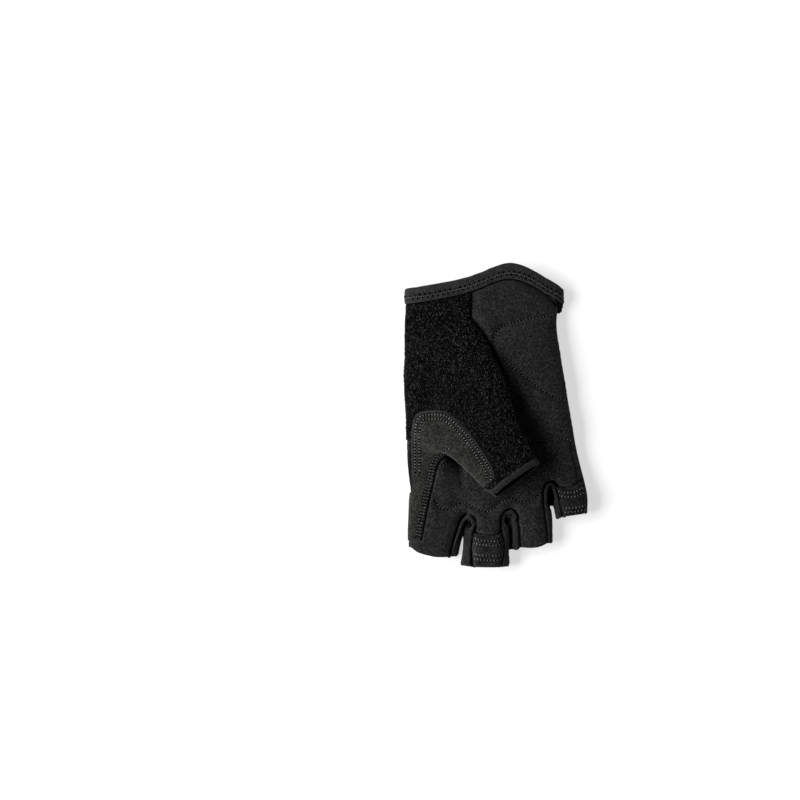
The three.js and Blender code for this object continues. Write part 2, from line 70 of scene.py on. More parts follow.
# Sums on arrays of numbers


def placed(points: Array) -> Array:
    """Points of the table of sections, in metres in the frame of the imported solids."""
    return (points - MIDDLE) * MM


def smooth(t: Array) -> Array:
    """A soft step from 0 to 1 as t goes from 0 to 1."""
    t = np.clip(t, 0.0, 1.0)
    return t * t * (3.0 - 2.0 * t)


def fade(distance: Array, reach: float) -> Array:
    """1 at no distance, and softly down to 0 at the reach."""
    return 1 - smooth(distance / reach)


def bell(distance: Array, width: float | Array) -> Array:
    """1 at no distance, and down on both sides as a bell is."""
    return np.exp(-((distance / width) ** 2))


def unit(vectors: Array) -> Array:
    """The vectors, one to a row, at length 1."""
    return vectors / np.maximum(np.linalg.norm(vectors, axis=-1, keepdims=True), 1e-9)


def rows_at(rows: Array, places: Array) -> Array:
    """Reads a table between its rows, on smooth curves.

    Args:
        rows: The table.
        places: Where to read, 0 being the first row and 1 the next.

    Returns:
        One row of values for each place.
    """
    last = len(rows) - 1
    i = np.clip(np.floor(places).astype(int), 0, last - 1)
    f = (places - i)[:, None]
    a, b = rows[np.maximum(i - 1, 0)], rows[i]
    c, d = rows[i + 1], rows[np.minimum(i + 2, last)]
    start, end = (c - a) / 2, (d - b) / 2
    return b + (c - b) * f * f * (3 - 2 * f) + start * f * (1 - f) ** 2 - end * f * f * (1 - f)


def spline(points: Array, steps: int = 4) -> Array:
    """A smooth line through points.

    Args:
        points: The points, one to a row.
        steps: How many parts each span is split into.

    Returns:
        The line's points.
    """
    points = np.asarray(points, float)
    count = (len(points) - 1) * steps
    return rows_at(points, np.linspace(0, len(points) - 1, count + 1))


def spaced(line: Array, pitch: float) -> Array:
    """The line's points again, evenly spaced.

    Args:
        line: Points along a line.
        pitch: The distance wanted between two points.

    Returns:
        Points along the same line.
    """
    lengths = np.r_[0, np.cumsum(np.linalg.norm(np.diff(line, axis=0), axis=1))]
    count = max(2, round(lengths[-1] / pitch) + 1)
    at = np.linspace(0, lengths[-1], count)
    return np.column_stack([np.interp(at, lengths, line[:, k]) for k in range(line.shape[1])])


def beside(line: Array, by: float) -> Array:
    """A line in plan moved to its left by the given distance."""
    along = unit(np.gradient(line, axis=0))
    return line + np.column_stack([-along[:, 1], along[:, 0]]) * by


def line_distance(points: Array, line: Array) -> Array:
    """How far points lie from a line, both seen from above.

    Args:
        points: The points; only their x and y count.
        line: The line's points.

    Returns:
        A distance for each point.
    """
    nearest = np.full(len(points), 1e9)
    for a, b in zip(line[:-1, :2], line[1:, :2]):
        along = b - a
        share = np.clip((points[:, :2] - a) @ along / max(along @ along, 1e-9), 0, 1)
        gap = points[:, :2] - a - share[:, None] * along
        nearest = np.minimum(nearest, (gap * gap).sum(1))
    return np.sqrt(nearest)


def inside_outline(points: Array, outline: Array) -> Array:
    """How far points lie inside a closed outline, seen from above.

    Args:
        points: The points; only their x and y count.
        outline: The corners of the outline.

    Returns:
        The distance to the outline, positive inside it and negative outside.
    """
    x, y = points[:, 0], points[:, 1]
    inner = np.zeros(len(points), bool)
    for a, b in zip(outline, np.roll(outline, -1, axis=0)):
        spans = (a[1] > y) != (b[1] > y)
        rise = b[1] - a[1] if abs(b[1] - a[1]) > 1e-12 else 1e-12
        inner ^= spans & (x < (b[0] - a[0]) * (y - a[1]) / rise + a[0])
    distance = line_distance(points, np.vstack([outline, outline[:1]]))
    return np.where(inner, distance, -distance)


# Large primes, which turn a cell's place into a number that looks random.
PRIMES = np.array([73856093, 19349663, 83492791])
SEED_PRIME = 2654435761
ROUNDS = ((13, 1274126177), (15, 2246822519))
LUMP_RANGE = 1.2  # brings the lumps to about -1 to 1


def noise(points: Array, size: float, seed: int) -> Array:
    """Smooth random lumps.

    Args:
        points: Where to read them.
        size: How wide a lump is.
        seed: Which lumps.

    Returns:
        A value from about -1 to 1 for each point.
    """
    cells = points / size
    base = np.floor(cells).astype(np.int64)
    f = cells - base
    ease = f * f * f * (f * (f * 6 - 15) + 10)
    total = np.zeros(len(points))
    for corner in product((0, 1), repeat=3):
        mixed = np.bitwise_xor.reduce((base + corner) * PRIMES, axis=1) ^ seed * SEED_PRIME
        for shift, prime in ROUNDS:
            mixed = (mixed ^ mixed >> shift) * prime & 0xFFFFFFFF
        slope = np.column_stack([mixed & 1023, mixed >> 10 & 1023, mixed >> 20 & 1023]) / 511.5 - 1
        share = np.prod(np.where(np.array(corner) == 1, ease, 1 - ease), axis=1)
        total += share * (slope * (f - corner)).sum(1)
    return total * LUMP_RANGE


def lumps(points: Array, *kinds: tuple[float, float, int]) -> Array:
    """The sum of several kinds of lumps, each given as its height, its width and its seed."""
    return sum(height * noise(points, size, seed) for height, size, seed in kinds)


# Triangles and quads between rows and rings of points


def flat_grid(rows: int, columns: int) -> Array:
    """The triangles of a grid of points, row after row.

    Args:
        rows: How many rows there are.
        columns: How many points a row has.

    Returns:
        The triangles' corners.
    """
    i, j = np.meshgrid(np.arange(rows - 1), np.arange(columns - 1), indexing="ij")
    a = (i * columns + j).ravel()
    b, c, d = a + 1, a + columns + 1, a + columns
    return np.vstack([np.column_stack([a, b, c]), np.column_stack([a, c, d])])


def tube_quads(rows: int, columns: int, closed: bool) -> Array:
    """The quads between rings of points.

    Args:
        rows: How many rings there are.
        columns: How many points a ring has.
        closed: Whether the last ring meets the first.

    Returns:
        The quads' corners.
    """
    count = rows if closed else rows - 1
    i, j = (a.ravel() for a in np.meshgrid(np.arange(count), np.arange(columns), indexing="ij"))
    here, ahead = i * columns, (i + 1) % rows * columns
    turned = (j + 1) % columns
    return np.column_stack([here + j, here + turned, ahead + turned, ahead + j])


def closed_tube(rings: Array) -> tuple[Array, Array, Array]:
    """A tube closed by a fan at each end.

    Args:
        rings: The tube's sections, each of equally many points.

    Returns:
        Its points, its quads and the triangles of its fans.
    """
    rows, columns, _ = rings.shape
    points = np.vstack([rings.reshape(-1, 3), rings[0].mean(0), rings[-1].mean(0)])
    around = np.arange(columns)
    after, last = (around + 1) % columns, (rows - 1) * columns
    start = np.column_stack([np.full(columns, rows * columns), after, around])
    end = np.column_stack([np.full(columns, rows * columns + 1), around + last, after + last])
    return points, tube_quads(rows, columns, False), np.vstack([start, end])


def halves(quads: Array) -> Array:
    """Each quad as two triangles."""
    return np.vstack([quads[:, [0, 1, 2]], quads[:, [0, 2, 3]]])


def outwards(points: Array, quads: Array) -> Array:
    """The quads turned so that their closed form has its faces outwards.

    Args:
        points: The form's points.
        quads: Its quads.

    Returns:
        The quads, as they are or each the other way round.
    """
    a, b, c, d = (points[quads[:, k]] for k in range(4))
    volume = (np.cross(b - a, c - a) * a).sum() + (np.cross(c - a, d - a) * a).sum()
    return quads if volume > 0 else quads[:, ::-1]


# The glove's tables of sections


TOP_POWER = 2.5  # squareness of the upper side's curve
HAND_POWER = 3.2
THUMB_POWER = 2.3
FINGER_POWER = 3.8
CORNER = 6.0  # how far the rounding of the lower edges reaches inwards
SLIM = 5  # and it takes no more than this part of the width


def bulge(turn: Array, power: float) -> tuple[Array, Array]:
    """A rounded box's outline at angles from 0 to a full turn, as its two coordinates."""
    c, s = np.cos(turn), np.sin(turn)
    return np.sign(c) * np.abs(c) ** (2 / power), np.sign(s) * np.abs(s) ** (2 / power)


@dataclass(frozen=True)
class FlatTube:
    """A flattened tube, which the hand and each finger is.

    Each row holds y, left, right, top, edge and drop: where the section lies, its two sides, how high
    it is, how high the fold at its sides is, and how much further its right end lies to the wrist.
    """

    rows: tuple
    power: float = TOP_POWER
    side: int = 8
    floor: int = 12
    top: int = 64

    def table(self) -> Array:
        """The rows as an array."""
        return np.array(self.rows, float)

    def section(self, row: Array) -> Array:
        """One cross-section.

        Args:
            row: The section's row of sizes.

        Returns:
            Points round the section, with a fourth column that is 1 on its upper side.
        """
        y, left, right, top, edge, drop = row
        reach = min(CORNER, (right - left) / SLIM)
        turn = np.arange(self.side) / self.side * math.pi / 2
        rounding, fall = reach * (1 - np.cos(turn)), edge - edge * np.sin(turn)
        near = np.column_stack([left + rounding, fall])
        level = np.linspace(left + reach, right - reach, self.floor + 1)
        under = np.column_stack([level, np.zeros(self.floor + 1)])
        far = np.column_stack([right - rounding, fall])[:0:-1]
        across, up = bulge(np.arange(self.top) / self.top * math.pi, self.power)
        over = np.column_stack([(left + right) / 2 + (right - left) / 2 * across, edge + (top - edge) * up])
        flat = np.vstack([near, under, far, over])
        slant = drop * (flat[:, 0] - left) / (right - left)
        upper = np.arange(len(flat)) >= len(flat) - self.top
        return np.column_stack([flat[:, 0], y + slant, flat[:, 1], upper])

    def rings(self, pitch: float = 1.5) -> Array:
        """The tube's sections, closely spaced.

        Args:
            pitch: About how far apart they lie.

        Returns:
            The sections, each as its points.
        """
        rows = self.table()
        count = max(4, round(abs(rows[-1, 0] - rows[0, 0]) / pitch))
        places = np.linspace(0, len(rows) - 1, count)
        return np.stack([self.section(row)[:, :3] for row in rows_at(rows, places)])


@dataclass(frozen=True)
class Thumb:
    """The ball of the thumb and the thumb, a flattened tube from the wrist to the thumb's mouth.

    Each row holds the left edge, the right edge and the thickness.
    """

    rows: tuple
    around: int = 72
    sections: int = 60

    def table(self) -> Array:
        """The rows as an array."""
        return np.array(self.rows, float)

    def axis(self) -> Array:
        """The direction in which the thumb's mouth faces."""
        last = self.table()[-1]
        return unit(np.array([last[4] - last[1], last[0] - last[3], 0.0]))

    def section(self, row: Array) -> Array:
        """One cross-section.

        Args:
            row: The section's row of sizes.

        Returns:
            Points round the section.
        """
        left, right, thick = row[:3], row[3:6], row[6]
        half = np.linalg.norm(right - left) / 2
        across = unit(right - left)
        along = unit(np.array([across[1], -across[0], 0.0]))
        up = unit(np.cross(along, across))
        up = up * np.sign(up[2])
        a, b = bulge(np.arange(self.around) / self.around * 2 * math.pi, THUMB_POWER)
        return (left + right) / 2 + np.outer(a * half, across) + np.outer(b * (thick / 2), up)

    def rings(self, beyond: float) -> Array:
        """The tube's sections, closely spaced.

        Args:
            beyond: How far the mouth's end is drawn out.

        Returns:
            The sections, each as its points.
        """
        rows = self.table()
        rings = [self.section(row) for row in rows_at(rows, np.linspace(0, len(rows) - 1, self.sections))]
        return np.stack(rings + [rings[-1] + self.axis() * beyond])


HAND = FlatTube((
    (84, -49.6, 34.2, 10.0, 4.4, 0),
    (62, -49.6, 34.2, 10.0, 4.4, 0),
    (50, -50.0, 33.4, 10.6, 4.6, 0),
    (36, -50.2, 35.1, 11.4, 4.8, 0),
    (20, -49.9, 37.8, 12.0, 5.0, 0),
    (3, -49.5, 40.6, 12.2, 5.0, 0),
    (-12, -49.2, 43.0, 12.0, 4.9, 1),
    (-26, -48.9, 44.8, 11.4, 4.7, 4),
    (-38, -47.6, 46.2, 10.3, 4.4, 9),
    (-47, -45.0, 45.5, 8.4, 4.2, 13),
), HAND_POWER)
CUFF = np.array([
    (-49.6, 62), (-36, 64), (-20, 67.2), (-9, 70.6), (0, 74.4), (8.5, 76), (18, 73.2), (28, 67.2), (34.2, 62),
], float)
CUFF_LEVEL = 62.0
CUFF_FOLD = 4.4  # height of the folds at the cuff's two sides

THUMB = Thumb((
    (-45.5, 66, 4.4, -17, 66, 5.0, 5.0),
    (-46.8, 50, 4.8, -10.8, 51, 8.6, 7.6),
    (-47.4, 34, 5.2, -2.6, 35, 13.2, 9.0),
    (-47.4, 18, 5.8, 4.6, 19, 16.4, 9.6),
    (-46.6, 4, 6.8, 8.6, 5, 17.6, 10.2),
    (-43.6, -8, 9.0, 11.0, -3, 18.2, 10.6),
    (-36.0, -15.5, 13.0, 13.8, -9.5, 18.6, 10.6),
    (-24.5, -22.5, 17.0, 17.2, -15.8, 18.9, 10.6),
    (-15.4, -30.4, 18.6, 20.4, -21.6, 19.1, 10.8),
    (-6.6, -39.6, 19.0, 23.6, -27.2, 19.3, 11.4),
))
STALL_STARTS = 6  # the row where the thumb's stall leaves the hand

FINGERS = {
    "index": FlatTube((
        (-30, -45.5, -16.0, 7.0, 4.2, 0), (-42, -47.2, -16.6, 9.8, 4.2, 0), (-51, -47.7, -17.4, 10.0, 4.2, 0),
        (-60, -48.1, -18.1, 9.7, 4.2, 0), (-66, -48.2, -18.6, 9.4, 4.2, 0), (-84, -48.3, -22.4, 9.0, 4.2, 0),
    ), FINGER_POWER),
    "middle": FlatTube((
        (-30, -19.5, 9.5, 7.4, 4.2, 0), (-42, -18.8, 9.6, 10.6, 4.2, 0), (-51, -18.0, 9.3, 10.6, 4.2, 0),
        (-60, -17.6, 8.5, 10.2, 4.2, 0), (-74, -18.3, 8.3, 9.7, 4.2, 0), (-90, -21.4, 6.2, 9.2, 4.2, 0),
    ), FINGER_POWER),
    "ring": FlatTube((
        (-26, 7.5, 31.0, 7.4, 4.2, 1.5), (-37, 8.0, 31.2, 10.4, 4.2, 1.2), (-46, 8.4, 29.6, 10.3, 4.2, 1.0),
        (-57, 8.5, 31.0, 9.9, 4.2, 0.8), (-68, 8.6, 31.2, 9.5, 4.2, 0.4), (-80, 9.4, 31.0, 9.2, 4.2, 0),
    ), FINGER_POWER),
    "little": FlatTube((
        (-20, 27.0, 43.6, 7.0, 4.2, 3.2), (-31, 28.6, 46.6, 9.6, 4.2, 2.8), (-39, 30.6, 48.8, 9.8, 4.2, 2.6),
        (-47, 31.3, 50.4, 9.4, 4.2, 2.4), (-53, 32.3, 50.4, 9.2, 4.2, 1.2), (-64, 34.2, 50.2, 9.0, 4.2, 0),
    ), FINGER_POWER),
}
# The webs in the crotches of the fingers, level with the palm and then low.
WEBS = (
    FlatTube((
        (-38, -25, -8, 10.0, 4.2, 0), (-46, -24, -10, 9.9, 4.2, 0), (-51, -22.5, -11.5, 9.6, 4.0, 0),
        (-54.6, -21, -12.5, 8.4, 3.6, 0), (-57.5, -21, -13.5, 5.8, 3.0, 0),
        (-64.2, -20.5, -15.6, 4.6, 2.6, 0),
    )),
    FlatTube((
        (-36, 0, 17, 10.0, 4.2, 0), (-44, 1, 15.5, 9.9, 4.2, 0), (-49, 2, 14, 9.6, 4.0, 0),
        (-52.2, 3, 13, 8.2, 3.6, 0), (-55, 4.5, 12.5, 5.4, 3.0, 0), (-65, 5.5, 11.5, 4.4, 2.6, 0),
    )),
    FlatTube((
        (-22, 22, 40, 10.0, 4.2, 0), (-30, 23, 38, 9.8, 4.2, 0), (-34, 24, 36.5, 9.3, 4.0, 0),
        (-37, 25, 35.5, 8.0, 3.6, 0), (-40, 25.5, 35, 5.6, 3.0, 0), (-49.6, 27.5, 34, 4.8, 2.6, 0),
    )),
)
# Where each finger's mouth ends, seen from above, from left to right.
TIPS = {
    "index": (
        (-50, -72.0), (-47.1, -72.6), (-44.7, -74.4), (-41.9, -75.8), (-36.4, -77.2), (-32, -77.9),
        (-20.5, -77.6),
    ),
    "middle": ((-20.3, -82.2), (-13.3, -83.2), (-3.4, -83.5), (6.4, -83.3), (7.7, -82.6)),
    "ring": (
        (7.9, -74.6), (12.5, -73.4), (13.2, -72.5), (19, -72.8), (24, -72.2), (28.3, -70.4), (32.3, -70.2),
    ),
    "little": ((32.5, -57.4), (37, -55.7), (46, -54.4), (52, -53.4)),
}

# The thumb's mouth seen from above: a short blunt end at the patch, and the slanting hem.
MOUTH = (
    (-12, -38.2), (-7.4, -39.6), (-4.0, -41.0), (-1.4, -41.2), (1.2, -38.9), (10, -32.5), (21.3, -24.5),
    (27, -20.6),
)

SEAMS = {
    "back_terry": ((19, 62), (0, 47.7), (-22, 26.8), (-38.6, 1.5), (-44, -7.8), (-51, -19)),
    "back_ulnar": ((36, 62), (33.6, 50), (32.6, 24), (31.8, 6), (34, -5), (43.6, -26), (52, -44)),
    "palm_terry": ((-13.9, 80), (-13.6, 60), (-15.5, 44), (-19, 24), (-23, 4), (-26, -14)),
    "patch_terry": (
        (-47.2, -21), (-46.8, -8), (-45, -0.6), (-41, 2.4), (-32, 3), (-26, 1.4), (-19.9, -3.4),
        (-12.8, -11.1), (-5.6, -21.6), (-1.6, -28.6), (-0.6, -33.4), (-3.2, -36.8), (-7.6, -39.7), (-10, -42),
    ),
    "patch_palm": ((-26, -14), (-27, -20.5), (-31.6, -26), (-34.2, -36), (-37.5, -50.2), (-41.2, -68.9)),
}
# Where the patch's edges are sewn: the upper one, and that from the thumb's crotch along the index finger.
PATCH_TOP_SEWN = ((-46.9, -31), (-47, -21), *SEAMS["patch_terry"][1:-3], (-0.8, -35.4))
PATCH_SEWN = ((-25.4, -21.3), (-28.6, -22.4), (-31.4, -25.6), (-33.9, -35.5), (-37.3, -50.2), (-40.8, -66.8))
GUSSETS = {
    "fourchette_index_middle": (
        (-24.4, -82), (-22.9, -70), (-19.6, -59), (-15.2, -53.6), (-12.2, -59), (-13.2, -72), (-13.6, -88),
    ),
    "fourchette_middle_ring": (
        (2.2, -88), (4.2, -72), (4.0, -60), (8.4, -51.4), (12.4, -60), (13.2, -70), (13.6, -78),
    ),
    "fourchette_ring_little": (
        (28.0, -78), (28.4, -66), (26.6, -48), (29.4, -37.4), (33.6, -43), (36.0, -52), (37.6, -62),
    ),
}
QUILTING = (
    ((-1.2, 41), (-1, 44), (1.5, 47.6), (6, 50.2), (15, 52.6), (27.5, 54.8), (30.5, 54.6)),
    ((3, 32.4), (13, 23.4), (24, 15.4), (31, 10.6), (37.3, 8.6)),
    ((18, -14), (29, -13.4), (36, -12.4), (41, -13.6)),
    ((-31.5, -27.5), (-26, -25.8), (-18, -24.6)),
    ((-33.8, -46.5), (-31, -50.2), (-26, -51.6), (-21.5, -49.2), (-18.6, -48), (-15, -48.4), (-10.6, -51.2),
     (-3.4, -52.4), (3.4, -47.2), (8.6, -45.5), (14, -47), (18.6, -46.8), (21.9, -45.2), (24.7, -42.6)),
    ((41.2, -14.6), (42.2, -19), (43.3, -24.5), (44.2, -29), (45.2, -34.4)),
)


def cuff_y(x: Array) -> Array:
    """How far the cuff reaches on the palm side, at places across it."""
    line = spline(CUFF, steps=8)
    return np.interp(x, line[:, 0], line[:, 1])


# A cloth of triangles


@dataclass
class Cloth:
    """A thin sheet of triangles. Its points keep their normals when it is cut."""

    points: Array
    normals: Array
    triangles: Array
    SNAP = 0.22  # a cut that passes closer to a point than this share of an edge moves the point

    @classmethod
    def of(cls, points: Array, triangles: Array) -> "Cloth":
        """A cloth whose normals are worked out from its triangles."""
        return cls(points, np.zeros_like(points), triangles).renewed(points)

    def turned_over(self) -> "Cloth":
        """The cloth with its other face out."""
        return Cloth(self.points, -self.normals, self.triangles[:, ::-1])

    def sides(self) -> Array:
        """The directed edges of all the triangles."""
        return np.vstack([self.triangles[:, pair] for pair in ([0, 1], [1, 2], [2, 0])])

    def edges(self) -> Array:
        """Each edge once, as a sorted pair of points."""
        return np.unique(np.sort(self.sides(), axis=1), axis=0)

    def border(self) -> Array:
        """Finds the cloth's border.

        Returns:
            The directed edges that belong to one triangle only.
        """
        pairs = self.sides()
        key = np.sort(pairs, axis=1) @ np.array([len(self.points), 1])
        _, first, count = np.unique(key, return_index=True, return_counts=True)
        return pairs[first[count == 1]]

    def part(self, keep: Array) -> "Cloth":
        """The chosen triangles as a cloth of their own."""
        used, index = np.unique(self.triangles[keep], return_inverse=True)
        return Cloth(self.points[used], self.normals[used], index.reshape(-1, 3))

    def _crossed(self, values: Array) -> tuple["Cloth", Array]:
        """The cloth with edges laid along the line where the values are 0.

        Args:
            values: A value for each point.

        Returns:
            The cloth with those edges, and for each triangle the side that it is on, -1 or 1.
        """
        values = values.copy()
        points, normals = self.points.copy(), self.normals.copy()
        a, b = self.edges().T
        split = values[a] * values[b] < 0
        a, b = a[split], b[split]
        share = values[a] / (values[a] - values[b])
        ends = ((share < self.SNAP, a, b, share), (share > 1 - self.SNAP, b, a, 1 - share))
        for near, start, end, t in ends:
            s, e, t = start[near], end[near], t[near][:, None]
            points[s] = self.points[s] * (1 - t) + self.points[e] * t
            normals[s] = self.normals[s] * (1 - t) + self.normals[e] * t
            values[s] = 0.0
        a, b = self.edges().T
        split = values[a] * values[b] < 0
        a, b = a[split], b[split]
        share = (values[a] / (values[a] - values[b]))[:, None]
        size = len(points)
        fresh = np.arange(len(a)) + size
        keys = a.astype(np.int64) * size + b
        points = np.vstack([points, points[a] * (1 - share) + points[b] * share])
        normals = np.vstack([normals, normals[a] * (1 - share) + normals[b] * share])

        def between(p: Array, q: Array) -> Array:
            """The new points on the edges from p to q."""
            key = np.minimum(p, q).astype(np.int64) * size + np.maximum(p, q)
            return fresh[np.searchsorted(keys, key)]

        side = np.sign(values)
        corners = side[self.triangles]
        mixed = (corners.max(1) > 0) & (corners.min(1) < 0)
        made, sides = [self.triangles[~mixed]], [np.where(corners[~mixed].max(1) > 0, 1, -1)]
        zeros = (corners == 0).any(1)
        for turn in range(3):
            tri = np.roll(self.triangles, -turn, axis=1)
            c = np.roll(corners, -turn, axis=1)
            through = mixed & zeros & (c[:, 0] == 0)
            z, p, q = tri[through].T
            n = between(p, q)
            made += [np.column_stack([z, p, n]), np.column_stack([z, n, q])]
            sides += [c[through, 1], c[through, 2]]
            alone = mixed & ~zeros & (c[:, 0] != c[:, 1]) & (c[:, 1] == c[:, 2])
            p, q, r = tri[alone].T
            m, n = between(p, q), between(p, r)
            made += [np.column_stack([p, m, n]), np.column_stack([m, q, r]), np.column_stack([m, r, n])]
            sides += [c[alone, 0], c[alone, 1], c[alone, 1]]
        return Cloth(points, unit(normals), np.vstack(made)), np.concatenate(sides)

    def cut(self, values: Array) -> tuple["Cloth", "Cloth"]:
        """The parts of the cloth where the values are negative and where they are positive."""
        whole, side = self._crossed(values)
        return whole.part(side < 0), whole.part(side > 0)

    def scored(self, values: Array) -> "Cloth":
        """The cloth with edges laid along the line where the values are 0, and left whole."""
        whole, _ = self._crossed(values)
        return whole.part(np.ones(len(whole.triangles), bool))

    def largest(self, least: int = 60) -> "Cloth":
        """The cloth without crumbs.

        Args:
            least: The fewest triangles that a part of it may have.

        Returns:
            The cloth's larger parts.
        """
        label = np.arange(len(self.points))
        a, b = self.edges().T
        while True:
            low = np.minimum(label[a], label[b])
            after = label.copy()
            np.minimum.at(after, a, low)
            np.minimum.at(after, b, low)
            after = after[after]
            if np.array_equal(after, label):
                break
            label = after
        group = label[self.triangles[:, 0]]
        count = np.bincount(group, minlength=len(self.points))
        return self.part(count[group] >= least)

    def renewed(self, points: Array) -> "Cloth":
        """The same triangles through moved points, with fresh normals.

        Args:
            points: The moved points.

        Returns:
            The new cloth.
        """
        a, b, c = (points[self.triangles[:, k]] for k in range(3))
        face = np.cross(b - a, c - a)
        normals = np.zeros_like(points)
        for k in range(3):
            np.add.at(normals, self.triangles[:, k], face)
        return Cloth(points, unit(normals), self.triangles)

    def rim(self) -> Array:
        """The points on the cloth's border."""
        return self.points[np.unique(self.border())]

    def from_rim(self, rim: Array) -> Array:
        """How far the points lie from a border.

        Args:
            rim: The border's points.

        Returns:
            For each point the distance to the nearest of them.
        """
        tree = KDTree(len(rim))
        for i, p in enumerate(rim):
            tree.insert(p, i)
        tree.balance()
        return np.array([tree.find(p)[2] for p in self.points])

    def raised(self, heights: Array) -> "Cloth":
        """The cloth with its points moved along their normals, and kept above the floor."""
        points = self.points + self.normals * heights[:, None]
        return self.renewed(np.column_stack([points[:, :2], np.maximum(points[:, 2], CLEAR)]))

    def walled(self, wall: float) -> tuple[Array, Array]:
        """The cloth given a thickness inwards.

        Args:
            wall: The thickness.

        Returns:
            Points and triangles of a closed mesh.
        """
        size = len(self.points)
        inner = self.points - self.normals * wall
        inner[:, 2] = np.maximum(inner[:, 2], CLEAR / 2)
        rim = self.border()
        a, b = rim.T
        edge = np.vstack([np.column_stack([b, a, a + size]), np.column_stack([b, a + size, b + size])])
        triangles = np.vstack([self.triangles, self.triangles[:, ::-1] + size, edge])
        return np.vstack([self.points, inner]), triangles


# Distances to closed forms on a grid of cells


@dataclass(frozen=True)
class Grid:
    """A block of cells that holds distances, negative inside a form."""

    step: float = 0.7
    low: tuple = (-56, -95, -5)
    high: tuple = (57, 90, 31)
    band: float = 9.0  # how many cells away from a surface the distances are true

    def first(self) -> Array:
        """The index of the first cell."""
        return np.floor(np.array(self.low) / self.step).astype(int)

    def shape(self) -> tuple:
        """How many cells the block has each way."""
        return tuple(np.ceil(np.array(self.high) / self.step).astype(int) - self.first())

    def places(self) -> tuple[Array, Array]:
        """The x and the y of the cells, shaped to spread over the block."""
        x, y = ((self.first()[k] + np.arange(self.shape()[k])) * self.step for k in range(2))
        return x[:, None, None], y[None, :, None]

    def of(self, rings: Array) -> Array:
        """Distances to a closed tube.

        Args:
            rings: The tube's sections, each of equally many points.

        Returns:
            The distance at each cell.
        """
        points, quads, fans = closed_tube(rings)
        made = openvdb.FloatGrid.createLevelSetFromPolygons(
            points.astype(np.float32),
            triangles=fans.astype(np.uint32),
            quads=quads.astype(np.uint32),
            transform=openvdb.createLinearTransform(voxelSize=self.step),
            halfWidth=self.band,
        )
        values = np.zeros(self.shape(), np.float32)
        made.copyToArray(values, ijk=tuple(self.first().tolist()))
        return values

    def read(self, values: Array, points: Array) -> Array:
        """Reads values between the cells.

        Args:
            values: A value for each cell.
            points: Where to read them.

        Returns:
            A value for each point.
        """
        at = points / self.step - self.first()
        base = np.clip(np.floor(at).astype(int), 0, np.array(values.shape) - 2)
        f = np.clip(at - base, 0, 1)
        total = np.zeros(len(points))
        for corner in product((0, 1), repeat=3):
            i, j, k = (base + corner).T
            total += values[i, j, k] * np.prod(np.where(np.array(corner) == 1, f, 1 - f), axis=1)
        return total

    def surface(self, values: Array) -> Cloth:
        """The sheet where the values are 0.

        Args:
            values: A value for each cell, negative inside a form.

        Returns:
            The sheet, with its face outwards.
        """
        made = openvdb.FloatGrid(float(self.band * self.step))
        made.transform = openvdb.createLinearTransform(voxelSize=self.step)
        made.copyFromArray(values.astype(np.float32), ijk=tuple(self.first().tolist()))
        points, triangles, quads = made.convertToPolygons(isovalue=0.0, adaptivity=0.0)
        points, quads = points.astype(float), quads.astype(int)
        a, b, c, d = (points[quads[:, k]] for k in range(4))
        short = (np.linalg.norm(a - c, axis=1) <= np.linalg.norm(b - d, axis=1))[:, None]
        one = np.where(short, quads[:, [0, 1, 2]], quads[:, [0, 1, 3]])
        two = np.where(short, quads[:, [0, 2, 3]], quads[:, [1, 2, 3]])
        cloth = Cloth.of(points, np.vstack([one, two, triangles.astype(int).reshape(-1, 3)]))
        lift = (cloth.normals * (points - points.mean(0))).sum()
        return cloth if lift > 0 else cloth.turned_over()


def joined(a: Array, b: Array, soft: Array | float) -> Array:
    """Distances to two forms as one, with a join that is so soft, from the distances to each."""
    share = np.clip(0.5 + 0.5 * (b - a) / soft, 0, 1)
    return b * (1 - share) + a * share - soft * share * (1 - share)


def blurred(values: Array) -> Array:
    """Softens values.

    Args:
        values: A value for each cell.

    Returns:
        The values averaged with their neighbours along each axis.
    """
    for axis in range(3):
        values = (np.roll(values, 1, axis) + 2 * values + np.roll(values, -1, axis)) / 4
    return values


def short_of_mouth(p: Array) -> Array:
    """How far above points the line of the thumb's mouth runs, seen from above."""
    line = spline(MOUTH)
    return np.interp(p[:, 0], line[:, 0], line[:, 1]) - p[:, 1]


